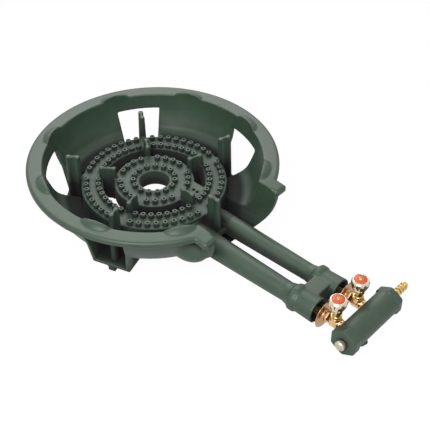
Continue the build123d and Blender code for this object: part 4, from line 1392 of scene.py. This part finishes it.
for ring_name, side in RINGS.items():
    y = side * TUBE_Y
    gland = eased(upright_hex("gland_nut_milled", GLAND_AF, GLAND_Z, GLAND_Z + GLAND_H, y), NUT_EDGE)
    piece(valve_body(y), "stove", "brass", BRASS, f"{ring_name}_valve_body")
    piece(bonnet(y), "stove", "brass", OLIVE_BRASS, f"{ring_name}_bonnet")
    piece(gland, "stove", "brass", OLIVE_BRASS, f"{ring_name}_gland_nut")

# %% [markdown]
# ## The knobs
# A bright knob turns each valve, with an orange-red cap in its top. The knob could be extruded from a fluted
# outline, but a real one is also rounded from top to foot. So it is turned, eight flutes are cut down its
# side, and a very fine cast skin softens every edge, as thick plating does.

# %% Knobs
KNOB_Z = 62.5
KNOB_TOP_Z = 78.5
KNOB_R = 12.3
KNOB_FOOT_R = 9.4
KNOB_HOLLOW_R = 7.2
KNOB_HOLLOW_H = 3.5
KNOB_LOBES = 8
KNOB_VOXEL = 0.4
FLUTE_R = 3.0
FLUTE_DEPTH = 1.4
FLUTE_H = 14.5
CAP_R = 8.5
CAP_RECESS = 2.5


def flute(y, angle):
    """A round cutter that stands beside the knob at an angle, up to its shoulder."""
    reach = KNOB_R + FLUTE_R - FLUTE_DEPTH
    bearing = math.radians(angle)
    x = VALVE_X + reach * math.cos(bearing)
    place = at(x, y + reach * math.sin(bearing), KNOB_Z - 1 + FLUTE_H / 2)
    return settle(cone("flute", place, FLUTE_R, FLUTE_R, FLUTE_H))


def knob(y):
    """A fluted knob, hollow underneath, with a recess for its cap."""
    recess_z = KNOB_TOP_Z - CAP_RECESS
    hollow_z = KNOB_Z + KNOB_HOLLOW_H
    outline = [(SPINDLE_R, hollow_z), (KNOB_HOLLOW_R, hollow_z), (KNOB_HOLLOW_R, KNOB_Z)]
    outline += [(KNOB_FOOT_R, KNOB_Z), (KNOB_R - 0.8, KNOB_Z + 5.5), (KNOB_R, KNOB_Z + 9)]
    outline += [(KNOB_R, KNOB_TOP_Z - 4.5), (KNOB_R - 0.6, KNOB_TOP_Z - 2)]
    outline += [(KNOB_R - 2.2, KNOB_TOP_Z - 0.4), (CAP_R + 0.6, KNOB_TOP_Z)]
    outline += [(CAP_R + 0.1, KNOB_TOP_Z - 0.4), (CAP_R + 0.1, recess_z), (SPINDLE_R, recess_z)]
    body = turned_upright("knob_plated", outline, VALVE_X, y, 96)
    for k in range(KNOB_LOBES):
        combine(body, flute(y, 360 / KNOB_LOBES * (k + 0.5)), "DIFFERENCE")
    return cast(body, KNOB_VOXEL)


for ring_name, side in RINGS.items():
    piece(knob(side * TUBE_Y), f"{ring_name}_handle", "chrome", CHROME, f"{ring_name}_knob")

# %% [markdown]
# ## Caps and screws
# The cap is a lacquered disc with a low dome, and the screw that holds it has a pan head. Both are turned.
# The cross slot could be painted on, but two thin blocks cut out of the head catch the light like a real one.

# %% Caps and screws
CAP_H = 3.6
CAP_EDGE = 0.15
SCREW_HEAD_R = 3.0
SCREW_HEAD_H = 1.4
SCREW_R = 1.5
SCREW_EDGE = 0.1
SLOT_REACH = 1.8
SLOT_HALF = 0.35
SLOT_DEPTH = 0.7


def cap(y):
    """A domed disc, its edge rounded over."""
    low = KNOB_TOP_Z - CAP_RECESS
    top = low + CAP_H
    outline = [(SCREW_R, low), (CAP_R, low), (CAP_R, top - 1.1), (CAP_R - 0.5, top - 0.7)]
    outline += [(CAP_R - 3, top - 0.1), (SCREW_R, top)]
    return eased(turned_upright("cap_moulded", outline, VALVE_X, y, 64), CAP_EDGE)


def knob_screw(y):
    """A pan head with a cross slot."""
    low = KNOB_TOP_Z - CAP_RECESS + CAP_H
    top = low + SCREW_HEAD_H
    head_r = SCREW_HEAD_R
    outline = [(0, low - 3), (SCREW_R, low - 3), (SCREW_R, low - 0.1), (head_r, low - 0.1)]
    outline += [(head_r, low + 0.4), (head_r - 0.5, low + 1), (head_r - 1.4, top), (0, top)]
    head = turned_upright("screw_turned", outline, VALVE_X, y, 48)
    for along, across in ((SLOT_REACH, SLOT_HALF), (SLOT_HALF, SLOT_REACH)):
        low_corner = (VALVE_X - along, y - across, top - SLOT_DEPTH)
        slot = box("slot", low_corner, (VALVE_X + along, y + across, top + 1))
        combine(head, slot, "DIFFERENCE")
    return eased(head, SCREW_EDGE)


for ring_name, side in RINGS.items():
    y = side * TUBE_Y
    handle = f"{ring_name}_handle"
    piece(cap(y), handle, "red_cap", RED, f"{ring_name}_knob_cap")
    piece(knob_screw(y), handle, "steel", YELLOW_ZINC, f"{ring_name}_knob_screw")

# %% [markdown]
# ## Burner bolts
# Four hex bolts hold the burner down, one through the floor of each leg into the fin that stands on it. Only
# their heads can be seen, from below, so an eased hex prism on a plain shank is enough.

# %% Burner bolts
BOLT_R = 2.95
BOLT_LENGTH = 22.0
BOLT_HEAD_AF = 10.0
BOLT_HEAD_EDGE = 0.4
BOLT_HEAD_H = 4.0


def bolt():
    """One hex bolt, pointing up through a leg's floor into the fin that stands on it."""
    middle = sum(OUTER_FIN) / 2
    low = LEG_FOOT_Z - BOLT_HEAD_H
    corners = [at(middle + a, b, low) for a, b in six_corners(BOLT_HEAD_AF, 0)]
    head = eased(die("head", corners, (0, 0, BOLT_HEAD_H)), BOLT_HEAD_EDGE)
    start = LEG_FOOT_Z - 1
    top = LEG_FOOT_Z + BOLT_LENGTH
    outline = [(0, start), (BOLT_R, start), (BOLT_R, top - 0.8), (BOLT_R - 0.7, top), (0, top)]
    return joined("bolt", [head, turned_upright("shank", outline, middle, 0, 32)])


pattern = bolt()
bolts = [turn(copy_of(pattern, "bolt_copy"), angle) for angle in LEG_ANGLES]
bpy.data.objects.remove(pattern)
piece(joined("burner_bolt_set", bolts), "stove", "steel", ZINC, "burner_bolts")

# %% [markdown]
# ## The floor
# The stove stands on a white ground, as in a catalogue picture. A bright lamp on a white floor would also
# brighten the stove, so the floor glows by itself, but only where the camera or a reflection sees it. The
# little that is left of its matt surface takes a faint shadow.

# %% Floor
FLOOR_SIZE = 6.0
FLOOR_GREY = (0.4, 0.4, 0.4, 1)
WHITE = (1, 1, 1, 1)
GLOW_STRENGTH = 1.05
GLOW_SHARE = 0.92


def floor_material():
    """A matt floor that glows white where it is seen or mirrored, so that its shadows stay faint."""
    material = bpy.data.materials.new("pale_floor")
    material.use_nodes = True
    tree = material.node_tree
    links = tree.links
    tree.nodes.remove(tree.nodes["Principled BSDF"])
    matt = node(tree, "ShaderNodeBsdfDiffuse", (-300, 100), Color=FLOOR_GREY)
    glow = node(tree, "ShaderNodeEmission", (-300, -100), Color=WHITE, Strength=GLOW_STRENGTH)
    rays = node(tree, "ShaderNodeLightPath", (-700, 300))
    either = node(tree, "ShaderNodeMath", (-500, 300), operation="MAXIMUM")
    part = node(tree, "ShaderNodeMath", (-350, 300), operation="MULTIPLY")
    part.inputs[1].default_value = GLOW_SHARE
    mix = node(tree, "ShaderNodeMixShader", (-100, 0))
    links.new(rays.outputs["Is Camera Ray"], either.inputs[0])
    links.new(rays.outputs["Is Glossy Ray"], either.inputs[1])
    links.new(either.outputs[0], part.inputs[0])
    links.new(part.outputs[0], mix.inputs[0])
    links.new(matt.outputs[0], mix.inputs[1])
    links.new(glow.outputs[0], mix.inputs[2])
    links.new(mix.outputs[0], tree.nodes["Material Output"].inputs["Surface"])
    return material


floor = added(bpy.ops.mesh.primitive_plane_add, "floor", size=FLOOR_SIZE, location=(0, 0, 0))
floor.data.materials.append(floor_material())
print("the floor is", FLOOR_SIZE, "m wide")

# %% [markdown]
# ## The light
# A white surround lights the stove softly from above, and one large softbox beside the camera gives the rim
# and the tubes their form. A card behind the stove is there only for its reflection: it puts a sheen on the
# paint, and it is kept out of the diffuse light, which would flatten the shadows.

# %% Light
SURROUND = (0.2, 1.1)
LIGHT_AIM = (0, 0, 0.05)
KEY_PLACE = (0.5, -1.15, 1.15)
KEY_SIZE = 1.0
KEY_POWER = 28
SHEEN_PLACE = (-1.0, 0.76, 1.2)
SHEEN_SIZE = 1.2
SHEEN_POWER = 17


def white_surround(low, high):
    """A white world: full strength where it is seen or mirrored, a dome brighter overhead where it lights."""
    world = bpy.data.worlds.new("surround")
    bpy.context.scene.world = world
    world.use_nodes = True
    tree = world.node_tree
    links = tree.links
    rays = node(tree, "ShaderNodeLightPath", (-900, 300))
    seen = node(tree, "ShaderNodeMath", (-700, 300), operation="MAXIMUM")
    mirrored = node(tree, "ShaderNodeMath", (-500, 300), operation="MAXIMUM")
    place = node(tree, "ShaderNodeTexCoord", (-900, 0))
    parts = node(tree, "ShaderNodeSeparateXYZ", (-700, 0))
    dome = node(tree, "ShaderNodeMapRange", (-500, 0))
    dome.inputs["To Min"].default_value = low
    dome.inputs["To Max"].default_value = high
    level = node(tree, "ShaderNodeMix", (-300, 300), data_type="FLOAT")
    level.inputs[3].default_value = 1.0
    links.new(place.outputs["Generated"], parts.inputs[0])
    links.new(parts.outputs["Z"], dome.inputs["Value"])
    links.new(dome.outputs["Result"], level.inputs[2])
    links.new(rays.outputs["Is Camera Ray"], seen.inputs[0])
    links.new(rays.outputs["Is Glossy Ray"], seen.inputs[1])
    links.new(seen.outputs[0], mirrored.inputs[0])
    links.new(rays.outputs["Is Transmission Ray"], mirrored.inputs[1])
    links.new(mirrored.outputs[0], level.inputs[0])
    back = tree.nodes["Background"]
    back.inputs["Color"].default_value = WHITE
    links.new(level.outputs[0], back.inputs["Strength"])


def softbox(name, place, aim, size, power):
    """A square area light that points at a place."""
    lamp = bpy.data.lights.new(name, "AREA")
    lamp.size = size
    lamp.energy = power
    obj = bpy.data.objects.new(name, lamp)
    bpy.context.collection.objects.link(obj)
    obj.location = place
    obj.rotation_euler = (Vector(aim) - Vector(place)).to_track_quat("-Z", "Y").to_euler()
    return obj


white_surround(*SURROUND)
softbox("key_light", KEY_PLACE, LIGHT_AIM, KEY_SIZE, KEY_POWER)
sheen = softbox("sheen_card", SHEEN_PLACE, LIGHT_AIM, SHEEN_SIZE, SHEEN_POWER)
sheen.visible_diffuse = False
print("lights:", [lamp.name for lamp in bpy.data.lights])

# %% [markdown]
# ## The camera
# The camera looks down on the stove from the front left, as in the photograph. Its place, direction and lens
# were fitted to the ellipses of the rim and the rings, which is surer than moving it by eye.

# %% Camera
CAMERA_PLACE = (0.6905, -0.7436, 0.958)
CAMERA_AIM = (-0.504, 0.5525, -0.6638)
CAMERA_LENS = 81.0
camera_data = bpy.data.cameras.new("camera")
camera_data.lens = CAMERA_LENS
camera = bpy.data.objects.new("camera", camera_data)
bpy.context.collection.objects.link(camera)
camera.location = CAMERA_PLACE
camera.rotation_euler = Vector(CAMERA_AIM).to_track_quat("-Z", "Y").to_euler()
bpy.context.scene.camera = camera
bpy.context.scene.view_settings.view_transform = "Standard"
print("camera lens:", CAMERA_LENS, "mm")
